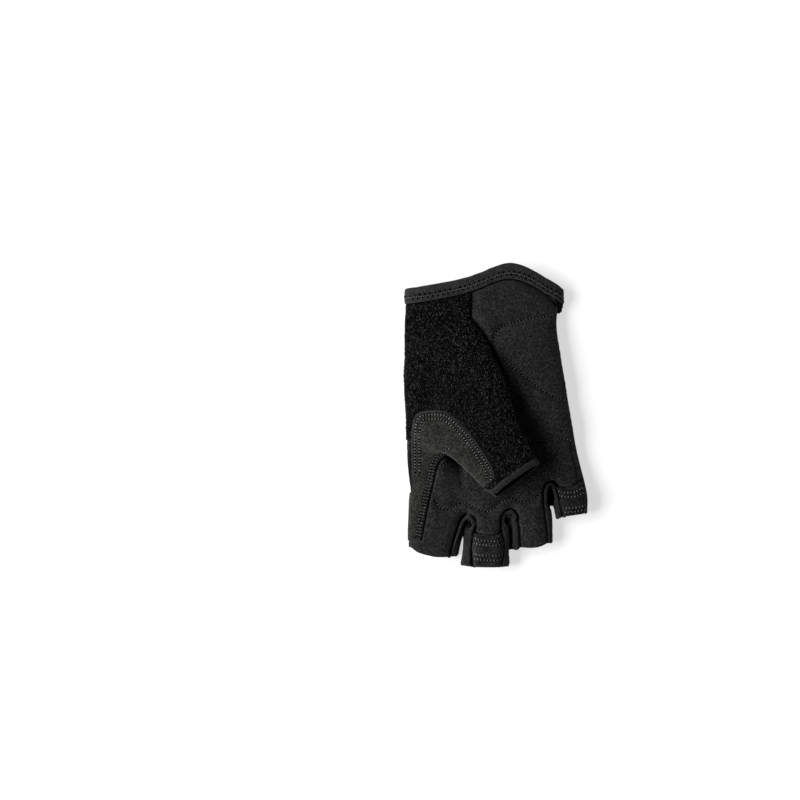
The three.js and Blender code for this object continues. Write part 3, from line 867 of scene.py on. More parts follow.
@dataclass
class Skin:
    """The glove's whole outer surface: the hand, the fingers and the thumb, softly joined."""

    grid: Grid = field(default_factory=Grid)
    finger_join: float = 1.0
    crotch: tuple = (-37.0, -16.0)  # where the thumb leaves the hand, seen from above
    crotch_reach: float = 19.0
    crotch_squash: float = 0.8  # how much less a distance along the hand counts there
    crotch_join: float = 9.0
    side: tuple = (-34.0, 8.0)  # where the thumb's side of the glove begins, and over what width
    side_top: tuple = (40.0, 20.0)  # where it ends towards the wrist, and over what length
    side_share: float = 0.6  # how soft the join is at the side, beside the crotch
    fold_join: float = 0.9  # how softly the thumb's fold meets the palm elsewhere
    beyond: float = 5.0  # how far the tubes run past their mouths, until they are cut
    mouth_axis: tuple = (0.57, -0.82, 0.0)  # the direction in which the thumb's mouth faces
    mouth_floor: float = 12.9  # height above which the thumb's mouth is cut
    crumb: int = 2000  # parts with fewer triangles are cut-off ends

    def __post_init__(self) -> None:
        """Works out the distances to the thumb and to the rest."""
        hand = self.grid.of(HAND.rings())
        self.thumb = self.grid.of(THUMB.rings(self.beyond))
        for tube in (*FINGERS.values(), *WEBS):
            hand = joined(hand, self.grid.of(tube.rings()), self.finger_join)
        self.hand = hand
        x, y = self.grid.places()
        across, along = x - self.crotch[0], (y - self.crotch[1]) * self.crotch_squash
        near = fade(np.hypot(across, along), self.crotch_reach)
        left = smooth((self.side[0] - x) / self.side[1]) * smooth((self.side_top[0] - y) / self.side_top[1])
        self.soft = self.fold_join + self.crotch_join * np.maximum(near, left * self.side_share)

    def cloth(self) -> Cloth:
        """Makes the surface.

        Returns:
            A sheet that is open at the cuff and at every mouth.
        """
        sheet = self.grid.surface(blurred(joined(self.hand, self.thumb, self.soft)))
        for beyond in (self.past_cuff, self.past_tips, self.past_thumb):
            sheet, _ = sheet.cut(beyond(sheet.points))
        return sheet.largest(self.crumb)

    def past_cuff(self, p: Array) -> Array:
        """How far points lie beyond the cuff, which is humped on the palm side and level on the back."""
        return p[:, 1] - np.where(p[:, 2] > CUFF_FOLD, cuff_y(p[:, 0]), CUFF_LEVEL)

    def past_tips(self, p: Array) -> Array:
        """How far points lie beyond the fingers' mouths."""
        line = np.vstack([spline(points) for points in TIPS.values()])
        return np.interp(p[:, 0], line[:, 0], line[:, 1]) - p[:, 1]

    def past_thumb(self, p: Array) -> Array:
        """How far points of the thumb lie beyond its mouth."""
        return np.minimum(short_of_mouth(p) * -self.mouth_axis[1], p[:, 2] - self.mouth_floor)


@dataclass
class Zones:
    """The panels' zones on the skin: each gives a value that is positive inside the panel."""

    skin: Skin
    thumb_margin: tuple = (0.4, 0.22)  # what the soft join adds: a width, and a share of the join's own
    turned_up: tuple = (-46.7, -42.0, -19.5, 8.5)  # the back's turned-up side: right, two ends and height
    stall_spread: float = 0.12  # how much wider than the thumb its underside is taken
    stall_drop: float = 0.6
    stall_beyond: float = 6.0
    over_corners: tuple = ((-30, -50), (-FAR, -50), (-FAR, -21))
    side_corners: tuple = ((-FAR, -19.5), (-46, -19.5), (-40, -14))
    neck: tuple = (-24.0, 5.0)  # where the patch's neck begins, right and above
    neck_end: int = 4  # the point of the seam where it ends

    def beside(self, p: Array, seam: str, side: float) -> Array:
        """How far points lie beyond a seam.

        Args:
            p: The points.
            seam: The seam's name.
            side: -1 for what lies left of it and 1 for what lies right.

        Returns:
            A distance for each point, negative on the other side.
        """
        line = spline(SEAMS[seam])
        corners = [(side * FAR, line[-1, 1]), (side * FAR, FAR), (line[0, 0], FAR)]
        return inside_outline(p, np.vstack([line, corners]))

    def in_thumb(self, p: Array) -> Array:
        """How deep points lie inside the thumb's tube, widened by what the soft join adds.

        Args:
            p: Points of the skin.

        Returns:
            A depth for each point, negative outside.
        """
        width, share = self.thumb_margin
        grid = self.skin.grid
        soft = grid.read(np.broadcast_to(self.skin.soft, grid.shape()), p)
        return width + share * soft - grid.read(self.skin.thumb, p)

    def terry_back(self, p: Array) -> Array:
        """Left of the back's terry seam, below the side folds."""
        return np.minimum(self.beside(p, "back_terry", -1), BACK_SPLIT - p[:, 2])

    def back(self, p: Array) -> Array:
        """The smooth fabric of the back.

        Args:
            p: Points of the skin.

        Returns:
            A value for each point.
        """
        x, y, z = p.T
        right, low, high, top = self.turned_up
        terry, side = self.beside(p, "back_terry", -1), self.beside(p, "back_ulnar", 1)
        flat = np.minimum.reduce([BACK_SPLIT - z, -terry, -side])
        return np.maximum(flat, np.minimum.reduce([right - x, high - y, y - low, top - z]))

    def gusset(self, p: Array, name: str) -> Array:
        """The gusset between two fingers."""
        return np.minimum(inside_outline(p, spline(GUSSETS[name], steps=5)), p[:, 2] - BACK_SPLIT)

    def stall_underside(self, p: Array) -> Array:
        """Below the level of the thumb's own edges, over the length of its stall.

        Args:
            p: Points of the skin.

        Returns:
            A value for each point.
        """
        rings = []
        for row in THUMB.table()[STALL_STARTS:]:
            left, right, thick = row[:3], row[3:6], row[6]
            out = (right - left) * (self.stall_spread, self.stall_spread, 0)
            drop, low = np.array([(0, 0, self.stall_drop), (0, 0, thick)])
            a, b = left - out - drop, right + out - drop
            rings.append(np.stack([a - low, b - low, b, a]))
        axis = THUMB.axis()
        rings = [rings[0] - axis * self.stall_drop] + rings + [rings[-1] + axis * self.stall_beyond]
        return -self.skin.grid.read(self.skin.grid.of(np.stack(rings)), p)

    def patch(self, p: Array) -> Array:
        """The saddle over the crotch of the thumb, the index finger's side and the thumb's inner face.

        Args:
            p: Points of the skin.

        Returns:
            A value for each point.
        """
        upper, lower = spline(SEAMS["patch_terry"]), spline(SEAMS["patch_palm"])
        high = p[:, 2] - BACK_SPLIT
        over = inside_outline(p, np.vstack([upper, self.over_corners]))
        side = inside_outline(p, np.vstack([lower, [(-FAR, lower[-1, 1])], self.side_corners]))
        start, top = self.neck
        ends = lower[:self.neck_end + 1]
        neck = inside_outline(p, np.vstack([[(-FAR, top), (start, top)], ends, [(-FAR, ends[-1, 1])]]))
        thumb = self.in_thumb(p)
        saddle = np.minimum.reduce([over, high, np.maximum(thumb, neck)])
        stall = np.minimum(self.stall_underside(p), thumb)
        return np.maximum.reduce([saddle, np.minimum(side, high), stall])

    def terry(self, p: Array) -> Array:
        """The ball of the thumb and the thumb's outer face, wrapped round to the back."""
        top = np.maximum(np.minimum(self.beside(p, "palm_terry", -1), p[:, 2] - BACK_SPLIT), self.in_thumb(p))
        return np.maximum(top, self.terry_back(p))

    def panels(self) -> dict[str, Cloth]:
        """Cuts the skin along the seams.

        Returns:
            The panels by name.
        """
        sheet = self.skin.cloth()
        made = {}
        sheet, made["back_panel"] = sheet.cut(self.back(sheet.points))
        for name in GUSSETS:
            sheet, made[name] = sheet.cut(self.gusset(sheet.points, name))
        sheet, made["thumb_patch"] = sheet.cut(self.patch(sheet.points))
        made["palm_panel"], made["terry_panel"] = sheet.cut(self.terry(sheet.points))
        return {name: cloth.largest() for name, cloth in made.items()}


# Finishes


def linear(level: float) -> float:
    """A light level from 0 to 255, as a picture stores it, as a share of the light."""
    share = level / 255
    return share / 12.92 if share <= 0.04045 else ((share + 0.055) / 1.055) ** 2.4


@dataclass(frozen=True)
class Tone:
    """A colour, as levels from 0 to 255."""

    red: float
    green: float
    blue: float

    def times(self, factor: float) -> tuple[float, float, float, float]:
        """The colour as shares of the light, made lighter or darker."""
        return tuple(linear(v) * factor for v in (self.red, self.green, self.blue)) + (1.0,)


class NodeTree:
    """A tree of nodes that are laid one by one."""

    tree: bpy.types.NodeTree

    def laid(self, kind: str, inputs: dict | None = None, **settings: object) -> bpy.types.Node:
        """Lays one node.

        Args:
            kind: The node's type.
            inputs: What goes into its sockets, each a value or another node's output.
            settings: Its settings.

        Returns:
            The node.
        """
        made = self.tree.nodes.new(kind)
        for key, value in settings.items():
            setattr(made, key, value)
        for key, value in (inputs or {}).items():
            if isinstance(value, Socket):
                self.tree.links.new(value, made.inputs[key])
            else:
                made.inputs[key].default_value = value
        return made

    def node(self, kind: str, inputs: dict | None = None, **settings: object) -> Outputs:
        """Lays one node in the same way, and gives its outputs."""
        return self.laid(kind, inputs, **settings).outputs

    def maths(self, operation: str, a: object, b: object) -> Socket:
        """A sum of two values."""
        return self.node("ShaderNodeMath", {0: a, 1: b}, operation=operation)[0]


class Shader(NodeTree):
    """A material on the piece's own coordinates in millimetres."""

    WAVES = 20 / (2 * math.pi)  # how a wave texture's scale counts its stripes

    def __init__(self, name: str) -> None:
        """Starts a material with a principled shader.

        Args:
            name: The material's name.
        """
        self.material = bpy.data.materials.new(name)
        self.material.use_nodes = True
        self.tree = self.material.node_tree
        self.tree.nodes.clear()
        self.surface = self.laid("ShaderNodeBsdfPrincipled")
        self.laid("ShaderNodeOutputMaterial", {0: self.surface.outputs[0]})
        self.place = self.node("ShaderNodeTexCoord")["Object"]

    def turned(self, degrees: float = 0.0, stretch: tuple = (1, 1, 1)) -> Socket:
        """The coordinates turned about the upright axis and stretched."""
        inputs = {"Vector": self.place, "Rotation": (0, 0, math.radians(degrees)), "Scale": stretch}
        return self.node("ShaderNodeMapping", inputs)[0]

    def noise(self, size: float, detail: float = 2.0, rough: float = 0.5, at: Socket | None = None) -> Socket:
        """Random lumps of a size in millimetres."""
        inputs = {"Vector": at or self.place, "Scale": 1 / (size * MM), "Detail": detail, "Roughness": rough}
        return self.node("ShaderNodeTexNoise", inputs)[0]

    def cells(self, size: float, at: Socket | None = None) -> Socket:
        """Distances in a pattern of cells of a size in millimetres."""
        inputs = {"Vector": at or self.place, "Scale": 1 / (size * MM)}
        return self.node("ShaderNodeTexVoronoi", inputs)["Distance"]

    def flecks(self, size: float, at: Socket | None = None) -> Socket:
        """A random level for each cell of a pattern.

        Args:
            size: A cell's size in millimetres.
            at: The coordinates, unless they are the piece's own.

        Returns:
            The level, from 0 to 1.
        """
        inputs = {"Vector": at or self.place, "Scale": 1 / (size * MM)}
        colour = self.node("ShaderNodeTexVoronoi", inputs)["Color"]
        return self.node("ShaderNodeSeparateColor", {0: colour})[0]

    def bands(self, size: float, at: Socket | None = None, bend: float = 0.0) -> Socket:
        """Stripes along Y.

        Args:
            size: A stripe's width in millimetres.
            at: The coordinates, unless they are the piece's own.
            bend: How wavy the stripes are.

        Returns:
            The stripes' level.
        """
        inputs = {
            "Vector": at or self.place, "Scale": 1 / (size * MM) / self.WAVES, "Distortion": bend,
            "Detail": 1.0, "Detail Scale": 0.4,
        }
        return self.node("ShaderNodeTexWave", inputs, wave_type="BANDS", bands_direction="X")[1]

    def spread(self, value: Socket, low: float, high: float, to_low: float, to_high: float) -> Socket:
        """A value taken from one range to another, and held inside it."""
        return self.node("ShaderNodeMapRange", {0: value, 1: low, 2: high, 3: to_low, 4: to_high})[0]

    def blend(self, *parts: tuple[Socket, float]) -> Socket:
        """The sum of values, each given with its weight."""
        terms = [self.maths("MULTIPLY", value, weight) for value, weight in parts]
        return reduce(lambda total, term: self.maths("ADD", total, term), terms)

    def ramp(self, value: Socket, tone: Tone, *stops: tuple[float, float]) -> Socket:
        """A tone along a value.

        Args:
            value: The value.
            tone: The tone.
            stops: Places on the value, each with a factor that makes the tone lighter or darker there.

        Returns:
            The colour.
        """
        made = self.laid("ShaderNodeValToRGB", {0: value})
        elements = made.color_ramp.elements
        while len(elements) < len(stops):
            elements.new(0.5)
        for element, (place, factor) in zip(elements, stops):
            element.position, element.color = place, tone.times(factor)
        return made.outputs[0]

    def times(self, colour: Socket, level: Socket) -> Socket:
        """A colour made lighter or darker.

        Args:
            colour: The colour.
            level: What it is multiplied by.

        Returns:
            The colour.
        """
        grey = self.node("ShaderNodeCombineColor", {0: level, 1: level, 2: level})[0]
        inputs = {"Factor": 1.0, 6: colour, 7: grey}
        return self.node("ShaderNodeMix", inputs, data_type="RGBA", blend_type="MULTIPLY")[2]

    def dress(self, colour: Socket, height: Socket, depth: float, strength: float = 1.0) -> None:
        """Gives the surface its colour and its relief.

        Args:
            colour: The colour.
            height: The relief, from 0 to 1.
            depth: The relief's depth in millimetres.
            strength: How much of it shows.
        """
        self.tree.links.new(colour, self.surface.inputs["Base Color"])
        bump = self.node("ShaderNodeBump", {"Height": height, "Strength": strength, "Distance": depth * MM})
        self.tree.links.new(bump[0], self.surface.inputs["Normal"])

    def feel(self, rough: float, sheen: float, sheen_rough: float, specular: float) -> None:
        """Sets how the whole surface takes the light.

        Args:
            rough: Its roughness.
            sheen: How strong its sheen is.
            sheen_rough: How wide the sheen spreads.
            specular: How strongly it mirrors.
        """
        names = ("Roughness", "Sheen Weight", "Sheen Roughness", "Specular IOR Level")
        for name, value in zip(names, (rough, sheen, sheen_rough, specular)):
            self.surface.inputs[name].default_value = value


@dataclass(frozen=True)
class Fabric:
    """What the glove's finishes have in common."""

    name: str
    tone: Tone

    def material(self) -> Material:
        """Makes the finish's material.

        Returns:
            The material.
        """
        shader = Shader(self.name)
        self.lay(shader)
        return shader.material


@dataclass(frozen=True)
class Suede(Fabric):
    """Synthetic suede with a fine nap, brushed here and there the other way."""

    grain: float = 0.65
    contrast: float = 0.9
    brushed: float = 0.05
    sheen: float = 0.1
    depth: float = 0.42

    def lay(self, s: Shader) -> None:
        """Lays the nap, its flecks and the brushed patches.

        Args:
            s: The material's nodes.
        """
        nap = s.noise(self.grain * 0.45, detail=3.0, rough=0.7)
        grain = s.noise(self.grain, rough=0.75)
        fibre = s.noise(1.1, rough=0.6, at=s.turned(degrees=24, stretch=(1.0, 0.4, 1.0)))
        patchy = s.noise(9.0, rough=0.55)
        flecks = s.flecks(self.grain)
        spots = s.cells(self.grain * 1.5)
        value = s.blend((nap, 0.1), (grain, 0.1), (fibre, 0.05), (spots, 0.35), (flecks, 0.4))
        light = 1 + self.contrast * 1.5
        colour = s.ramp(value, self.tone, (0.28, 1 - self.contrast), (0.5, 1.0), (0.72, light))
        sweep = s.spread(patchy, 0.35, 0.65, 1 - self.brushed, 1 + self.brushed)
        relief = s.blend((nap, 0.3), (fibre, 0.1), (spots, 0.3), (flecks, 0.3))
        s.dress(s.times(colour, sweep), relief, depth=self.depth, strength=0.8)
        s.feel(rough=0.94, sheen=self.sheen, sheen_rough=0.45, specular=0.1)


@dataclass(frozen=True)
class Knit(Fabric):
    """Smooth stretch fabric in fine upright ribs, painted darker as shade where it turns up at the side."""

    rib: float = 0.55
    sheen: float = 0.04
    turned_up: tuple = (1.8, 3.2)  # from where to where it is painted darker, as shade, as it turns up at the side
    # how dark the painted shade makes the turned-up side
    painted_side_shade: float = 0.2

    def lay(self, s: Shader) -> None:
        """Lays the ribs, the courses and the shade painted on the side that turns up.

        Args:
            s: The material's nodes.
        """
        rib = s.bands(self.rib, bend=0.5)
        course = s.bands(self.rib * 0.8, s.turned(90), bend=0.6)
        fuzz = s.noise(0.3, detail=3.0, rough=0.6)
        broad = s.noise(16.0)
        value = s.blend((rib, 0.4), (course, 0.2), (fuzz, 0.3), (broad, 0.1))
        colour = s.ramp(value, self.tone, (0.2, 0.6), (0.5, 1.0), (0.85, 1.6))
        # painted shade: the colour darkens with height where the knit turns up at the side
        low, high = self.turned_up
        height = s.node("ShaderNodeSeparateXYZ", {0: s.place})[2]
        shade = s.spread(height, low * MM, high * MM, 1.0, self.painted_side_shade)
        relief = s.blend((rib, 0.5), (course, 0.3), (fuzz, 0.2))
        s.dress(s.times(colour, shade), relief, depth=0.12, strength=0.6)
        s.feel(rough=0.8, sheen=self.sheen, sheen_rough=0.4, specular=0.06)


@dataclass(frozen=True)
class Terry(Fabric):
    """Looped towelling in slanting rows, with a painted highlight on each loop's top; its ground is painted
    almost black as the shade between the loops.
    """

    loop: float = 0.95
    peak: float = 4.5

    def lay(self, s: Shader) -> None:
        """Lays the loops, the yarn and the painted highlight on the loops' tops.

        Args:
            s: The material's nodes.
        """
        at = s.turned(degrees=28, stretch=(1.0, 0.62, 1.0))
        loops = s.cells(self.loop, at)
        yarn = s.noise(0.5, rough=0.75)
        flecks = s.flecks(self.loop * 0.55, at)
        # painted highlight: lighter towards each cell's middle, the loop's top; the same pattern also gives
        # the relief
        tops = s.spread(loops, 0.05, 0.62, 1.0, 0.0)
        value = s.blend((tops, 0.1), (yarn, 0.3), (flecks, 0.6))
        colour = s.ramp(value, self.tone, (0.2, 0.12), (0.42, 0.5), (0.6, 1.7), (0.78, self.peak))
        s.dress(colour, s.blend((tops, 0.6), (yarn, 0.4)), depth=0.5, strength=0.8)
        s.feel(rough=1.0, sheen=0.0, sheen_rough=0.6, specular=0.0)


@dataclass(frozen=True)
class Tape(Fabric):
    """Woven binding tape with a soft face."""

    weave: float = 0.46

    def lay(self, s: Shader) -> None:
        """Lays warp, weft and nap.

        Args:
            s: The material's nodes.
        """
        warp = s.bands(self.weave, s.turned(52), bend=0.3)
        weft = s.bands(self.weave, s.turned(-38), bend=0.3)
        nap = s.noise(0.8, detail=3.0, rough=0.75)
        flecks = s.flecks(0.6)
        value = s.blend((warp, 0.1), (weft, 0.1), (nap, 0.45), (flecks, 0.35))
        colour = s.ramp(value, self.tone, (0.36, 0.4), (0.5, 1.0), (0.64, 2.0))
        relief = s.blend((warp, 0.15), (weft, 0.15), (nap, 0.4), (flecks, 0.3))
        s.dress(colour, relief, depth=0.34, strength=0.8)
        s.feel(rough=0.88, sheen=0.1, sheen_rough=0.4, specular=0.15)


@dataclass(frozen=True)
class Thread(Fabric):
    """Twisted sewing thread."""

    def lay(self, s: Shader) -> None:
        """Lays the twist.

        Args:
            s: The material's nodes.
        """
        twist = s.bands(0.22, s.turned(35))
        worn = s.noise(0.9)
        colour = s.ramp(s.blend((twist, 0.5), (worn, 0.5)), self.tone, (0.3, 0.45), (0.6, 1.1), (0.8, 1.6))
        s.dress(colour, twist, depth=0.06, strength=0.5)
        s.feel(rough=0.55, sheen=0.1, sheen_rough=0.4, specular=0.4)


@dataclass(frozen=True)
class PaintedShade(Fabric):
    """Painted shade: the near-black of a needle's hole, or of a fold in shade."""

    def lay(self, s: Shader) -> None:
        """Lays an uneven dark.

        Args:
            s: The material's nodes.
        """
        worn = s.noise(1.2)
        s.dress(s.ramp(worn, self.tone, (0.35, 0.5), (0.65, 1.5)), worn, depth=0.1, strength=0.5)
        s.feel(rough=1.0, sheen=0.0, sheen_rough=0.5, specular=0.0)


@dataclass(frozen=True)
class Floor:
    """The pale table, lit a little from within, as a picture of goods is taken."""

    name: str = "pale_floor"
    level: float = 0.42
    glow: float = 0.6

    def material(self) -> Material:
        """Makes the floor's material.

        Returns:
            The material.
        """
        s = Shader(self.name)
        s.surface.inputs["Base Color"].default_value = (self.level, self.level, self.level, 1.0)
        s.surface.inputs["Emission Color"].default_value = (1.0, 1.0, 1.0, 1.0)
        s.surface.inputs["Emission Strength"].default_value = self.glow
        s.feel(rough=0.9, sheen=0.0, sheen_rough=0.5, specular=0.1)
        return s.material


class Finish(Enum):
    """The glove's finishes."""

    PALM = Suede("suede_of_palm", Tone(23, 23, 23.2))
    PATCH = Suede("suede_of_patch", Tone(24.8, 25.0, 23.7))
    TAB = Suede("suede_of_tabs", Tone(19.5, 19.5, 19.5), contrast=0.95)
    # the little finger's tab: the tabs' suede made darker, painted shade
    SHADE_PAINTED_TAB_OF_LITTLE_FINGER = Suede("shade_painted_suede_of_little_finger_tab", Tone(13.2, 13.2, 13.2), contrast=0.95)
    GUSSET = Suede("fabric_of_gussets", Tone(22, 22, 22.4), grain=0.6, contrast=0.6)
    BACK = Knit("knit_of_back", Tone(26, 27.4, 28.6))
    # the towelling's ground is painted almost black, as the shade between its loops
    TERRY = Terry("towelling_ground_in_painted_shade", Tone(6.5, 6.5, 6.5))
    PILE = Terry("loops_of_towelling", Tone(30.4, 31, 30.6), loop=1.0, peak=5.2)
    BINDING = Tape("tape_of_binding", Tone(27, 27, 27))
    HEM = Tape("tape_of_hem", Tone(27, 27, 27))
    THREAD = Thread("grey_thread", Tone(82, 82, 82))
    DIM_THREAD = Thread("dim_thread", Tone(57, 57, 57))
    TAB_THREAD = Thread("worn_thread", Tone(68, 68, 68))
    # painted shade: near-black beads at the needle's holes
    HOLE_SHADE = PaintedShade("painted_stitch_hole_shade", Tone(4, 4, 4))
    # near-black faces where a fold lies in shade: painted shade
    FOLD_SHADE = PaintedShade("painted_fold_shade", Tone(7, 7, 7))

    @cache
    def made(self) -> Material:
        """The finish's material, made once."""
        return self.value.material()


# Meshes and sewing


def linked(name: str, data: bpy.types.ID) -> Piece:
    """A new object in the scene, with its data.

    Args:
        name: The object's name.
        data: Its mesh, lamp or camera.

    Returns:
        The object.
    """
    made = bpy.data.objects.new(name, data)
    bpy.context.scene.collection.objects.link(made)
    return made


def mesh_piece(name: str, points: Array, faces: Array, finish: Finish, sharp: float = 48.0) -> Piece:
    """A piece of the glove.

    Args:
        name: The piece's name.
        points: Its points, in millimetres on the table of sections.
        faces: Its triangles or quads.
        finish: Its finish.
        sharp: Edges that turn by more degrees than this stay sharp.

    Returns:
        The piece's object, in place.
    """
    size = faces.shape[1]
    mesh = bpy.data.meshes.new(name)
    mesh.vertices.add(len(points))
    mesh.vertices.foreach_set("co", placed(points).astype(np.float32).ravel())
    mesh.loops.add(faces.size)
    mesh.loops.foreach_set("vertex_index", faces.astype(np.int32).ravel())
    mesh.polygons.add(len(faces))
    mesh.polygons.foreach_set("loop_start", np.arange(len(faces), dtype=np.int32) * size)
    mesh.polygons.foreach_set("use_smooth", np.ones(len(faces), bool))
    mesh.update(calc_edges=True)
    mesh.validate()
    mesh.set_sharp_from_angle(angle=math.radians(sharp))
    mesh.materials.append(finish.made())
    return linked(name, mesh)


def triangles_of(piece: Piece) -> int:
    """How many triangles a piece has."""
    return sum(len(p.vertices) - 2 for p in piece.data.polygons)


class Sewing(NodeTree):
    """A Geometry Nodes tree with named inputs."""

    KINDS = {float: "NodeSocketFloat", int: "NodeSocketInt", Material: "NodeSocketMaterial"}
    LENGTHS = (0.65, 1.3, 5)  # the least and the most that a bead's length is taken times, and a seed
    WIDTHS = (0.75, 1.2, 9)

    def __init__(self, name: str, inputs: dict[str, object]) -> None:
        """Starts a tree.

        Args:
            name: The tree's name.
            inputs: Its inputs beside the geometry, each with its value.
        """
        self.tree = bpy.data.node_groups.new(name, "GeometryNodeTree")
        face = self.tree.interface
        face.new_socket("Geometry", in_out="INPUT", socket_type="NodeSocketGeometry")
        face.new_socket("Geometry", in_out="OUTPUT", socket_type="NodeSocketGeometry")
        self.values = {}
        for key, value in inputs.items():
            kind = self.KINDS[next(k for k in self.KINDS if isinstance(value, k))]
            made = face.new_socket(key, in_out="INPUT", socket_type=kind)
            self.values[made.identifier] = value
        self.inputs = self.node("NodeGroupInput")

    def vector(self, operation: str, a: Socket, b: Socket, socket: int = 1) -> Socket:
        """A sum of two vectors, or of a vector and a scale."""
        return self.node("ShaderNodeVectorMath", {0: a, socket: b}, operation=operation)[0]

    def combined(self, x: object, y: object, z: object) -> Socket:
        """A vector from its three parts."""
        return self.node("ShaderNodeCombineXYZ", {0: x, 1: y, 2: z})[0]

    def upright(self) -> Socket:
        """The direction that points out of the cloth, which the line carries."""
        return self.node("GeometryNodeInputNamedAttribute", {"Name": "up"}, data_type="FLOAT_VECTOR")[0]

    def random(self, low: float, high: float, seed: object) -> Socket:
        """A random value for each element."""
        return self.node("FunctionNodeRandomValue", {2: low, 3: high, 8: seed}, data_type="FLOAT")[1]

    def along_rows(self, pitch: Socket) -> Socket:
        """Points along the rows, a pitch apart."""
        curve = self.node("GeometryNodeMeshToCurve", {0: self.inputs["Geometry"]})[0]
        return self.node("GeometryNodeResampleCurve", {0: curve, "Length": pitch}, mode="LENGTH")[0]

    def to_and_fro(self, points: Socket, width: Socket) -> Socket:
        """Moves points to one side and the other in turn.

        Args:
            points: The points, in rows.
            width: How far apart the two sides are.

        Returns:
            The points.
        """
        side = self.vector("CROSS_PRODUCT", self.upright(), self.node("GeometryNodeInputTangent")[0])
        odd = self.maths("MODULO", self.node("GeometryNodeInputIndex")[0], 2.0)
        shift = self.maths("MULTIPLY", self.maths("SUBTRACT", odd, 0.5), width)
        offset = self.vector("SCALE", side, shift, 3)
        return self.node("GeometryNodeSetPosition", {0: points, "Offset": offset})[0]

    def bead(self, length: Socket, width: Socket, height: Socket) -> Socket:
        """A bead of few faces."""
        ball = self.node("GeometryNodeMeshUVSphere", {"Segments": 6, "Rings": 5, "Radius": 0.5})[0]
        return self.node("GeometryNodeTransform", {0: ball, "Scale": self.combined(length, width, height)})[0]

    def laid_along(self, up: Socket, ahead: object, turn: Socket) -> Socket:
        """A rotation that lays a thing on the cloth.

        Args:
            up: The direction out of the cloth.
            ahead: The direction that its length takes.
            turn: The angles by which it is then turned.

        Returns:
            The rotation.
        """
        align = "FunctionNodeAlignRotationToVector"
        stood = self.node(align, {"Vector": up}, axis="Z")[0]
        laid = self.node(align, {"Rotation": stood, "Vector": ahead}, axis="X", pivot_axis="Z")[0]
        euler = self.node("FunctionNodeEulerToRotation", {0: turn})[0]
        return self.node("FunctionNodeRotateRotation", {0: laid, 1: euler}, rotation_space="LOCAL")[0]

    def beaded(self, points: Socket, bead: Socket, sway: object, chosen: object) -> Socket:
        """Puts a bead at points, each along its row.

        Args:
            points: The points.
            bead: The bead.
            sway: How far a bead may turn.
            chosen: Which points get one.

        Returns:
            The beads.
        """
        angle = self.maths("MULTIPLY", self.random(-1.0, 1.0, self.inputs["Seed"]), sway)
        tangent = self.node("GeometryNodeInputTangent")[0]
        rotation = self.laid_along(self.upright(), tangent, self.combined(0.0, 0.0, angle))
        size = self.combined(self.random(*self.LENGTHS), self.random(*self.WIDTHS), 1.0)
        inputs = {0: points, "Selection": chosen, "Instance": bead, "Rotation": rotation, "Scale": size}
        return self.node("GeometryNodeInstanceOnPoints", inputs)[0]

    def finished(self, geometry: Socket, material: str) -> None:
        """Ends the tree: real meshes, smooth, in their material.

        Args:
            geometry: What the tree made.
            material: The name of the material's input.
        """
        real = self.node("GeometryNodeRealizeInstances", {0: geometry})[0]
        round_ = self.node("GeometryNodeSetShadeSmooth", {0: real})[0]
        dressed = self.node("GeometryNodeSetMaterial", {0: round_, "Material": self.inputs[material]})[0]
        self.laid("NodeGroupOutput", {0: dressed})

    def sewn(self, base: Piece, name: str) -> Piece:
        """Runs the tree on a base and keeps the result as a plain piece.

        Args:
            base: The line or cloth that it works on, which is removed.
            name: The new piece's name.

        Returns:
            The new piece.
        """
        modifier = base.modifiers.new(self.tree.name, "NODES")
        modifier.node_group = self.tree
        for key, value in self.values.items():
            modifier[key] = value
        depsgraph = bpy.context.evaluated_depsgraph_get()
        mesh = bpy.data.meshes.new_from_object(base.evaluated_get(depsgraph))
        mesh.name = name
        piece = linked(name, mesh)
        bpy.data.objects.remove(base)
        return piece


def stitch_tree(size: tuple, pitch: float, finish: Finish, turn: int, sway: float = 0.12) -> Sewing:
    """A tree that puts a small bead at every second half step of lines: a stitch, or the hole beside it.

    Args:
        size: The bead's length, width and height, in millimetres.
        pitch: The distance from one bead to the next.
        finish: The bead's finish.
        turn: 0 for the stitches and 1 for the holes between them.
        sway: How far a bead may turn, in radians.

    Returns:
        The tree.
    """
    t = Sewing("stitches", {
        "Length": size[0] * MM, "Width": size[1] * MM, "Height": size[2] * MM, "Pitch": pitch * MM,
        "Turn": turn, "Sway": sway, "Seed": 7, "Thread": finish.made(),
    })
    points = t.along_rows(t.maths("MULTIPLY", t.inputs["Pitch"], 0.5))
    index = t.node("GeometryNodeInputIndex")[0]
    chosen = t.maths("MODULO", t.maths("ADD", index, t.inputs["Turn"]), 2.0)
    bead = t.bead(t.inputs["Length"], t.inputs["Width"], t.inputs["Height"])
    t.finished(t.beaded(points, bead, t.inputs["Sway"], chosen), "Thread")
    return t


def zigzag_tree(width: float, size: tuple, pitch: float, finish: Finish, between: bool) -> Sewing:
    """A tree that puts beads along a zigzag: the thread between its turns, or the needle's holes at them.

    Args:
        width: How wide the zigzag is, in millimetres.
        size: A bead's length, width and height.
        pitch: The distance from one turn to the next.
        finish: The beads' finish.
        between: Whether the beads lie between the turns.

    Returns:
        The tree.
    """
    t = Sewing("zigzag", {
        "Width": width * MM, "Length": size[0] * MM, "Across": size[1] * MM, "Height": size[2] * MM,
        "Pitch": pitch * MM, "Sway": 0.45, "Seed": 7, "Thread": finish.made(),
    })
    moved = t.to_and_fro(t.along_rows(t.inputs["Pitch"]), t.inputs["Width"])
    chosen = True
    if between:
        moved = t.node("GeometryNodeSubdivideCurve", {0: moved, "Cuts": 1})[0]
        chosen = t.maths("MODULO", t.node("GeometryNodeInputIndex")[0], 2.0)
    bead = t.bead(t.inputs["Length"], t.inputs["Across"], t.inputs["Height"])
    t.finished(t.beaded(moved, bead, t.inputs["Sway"], chosen), "Thread")
    return t


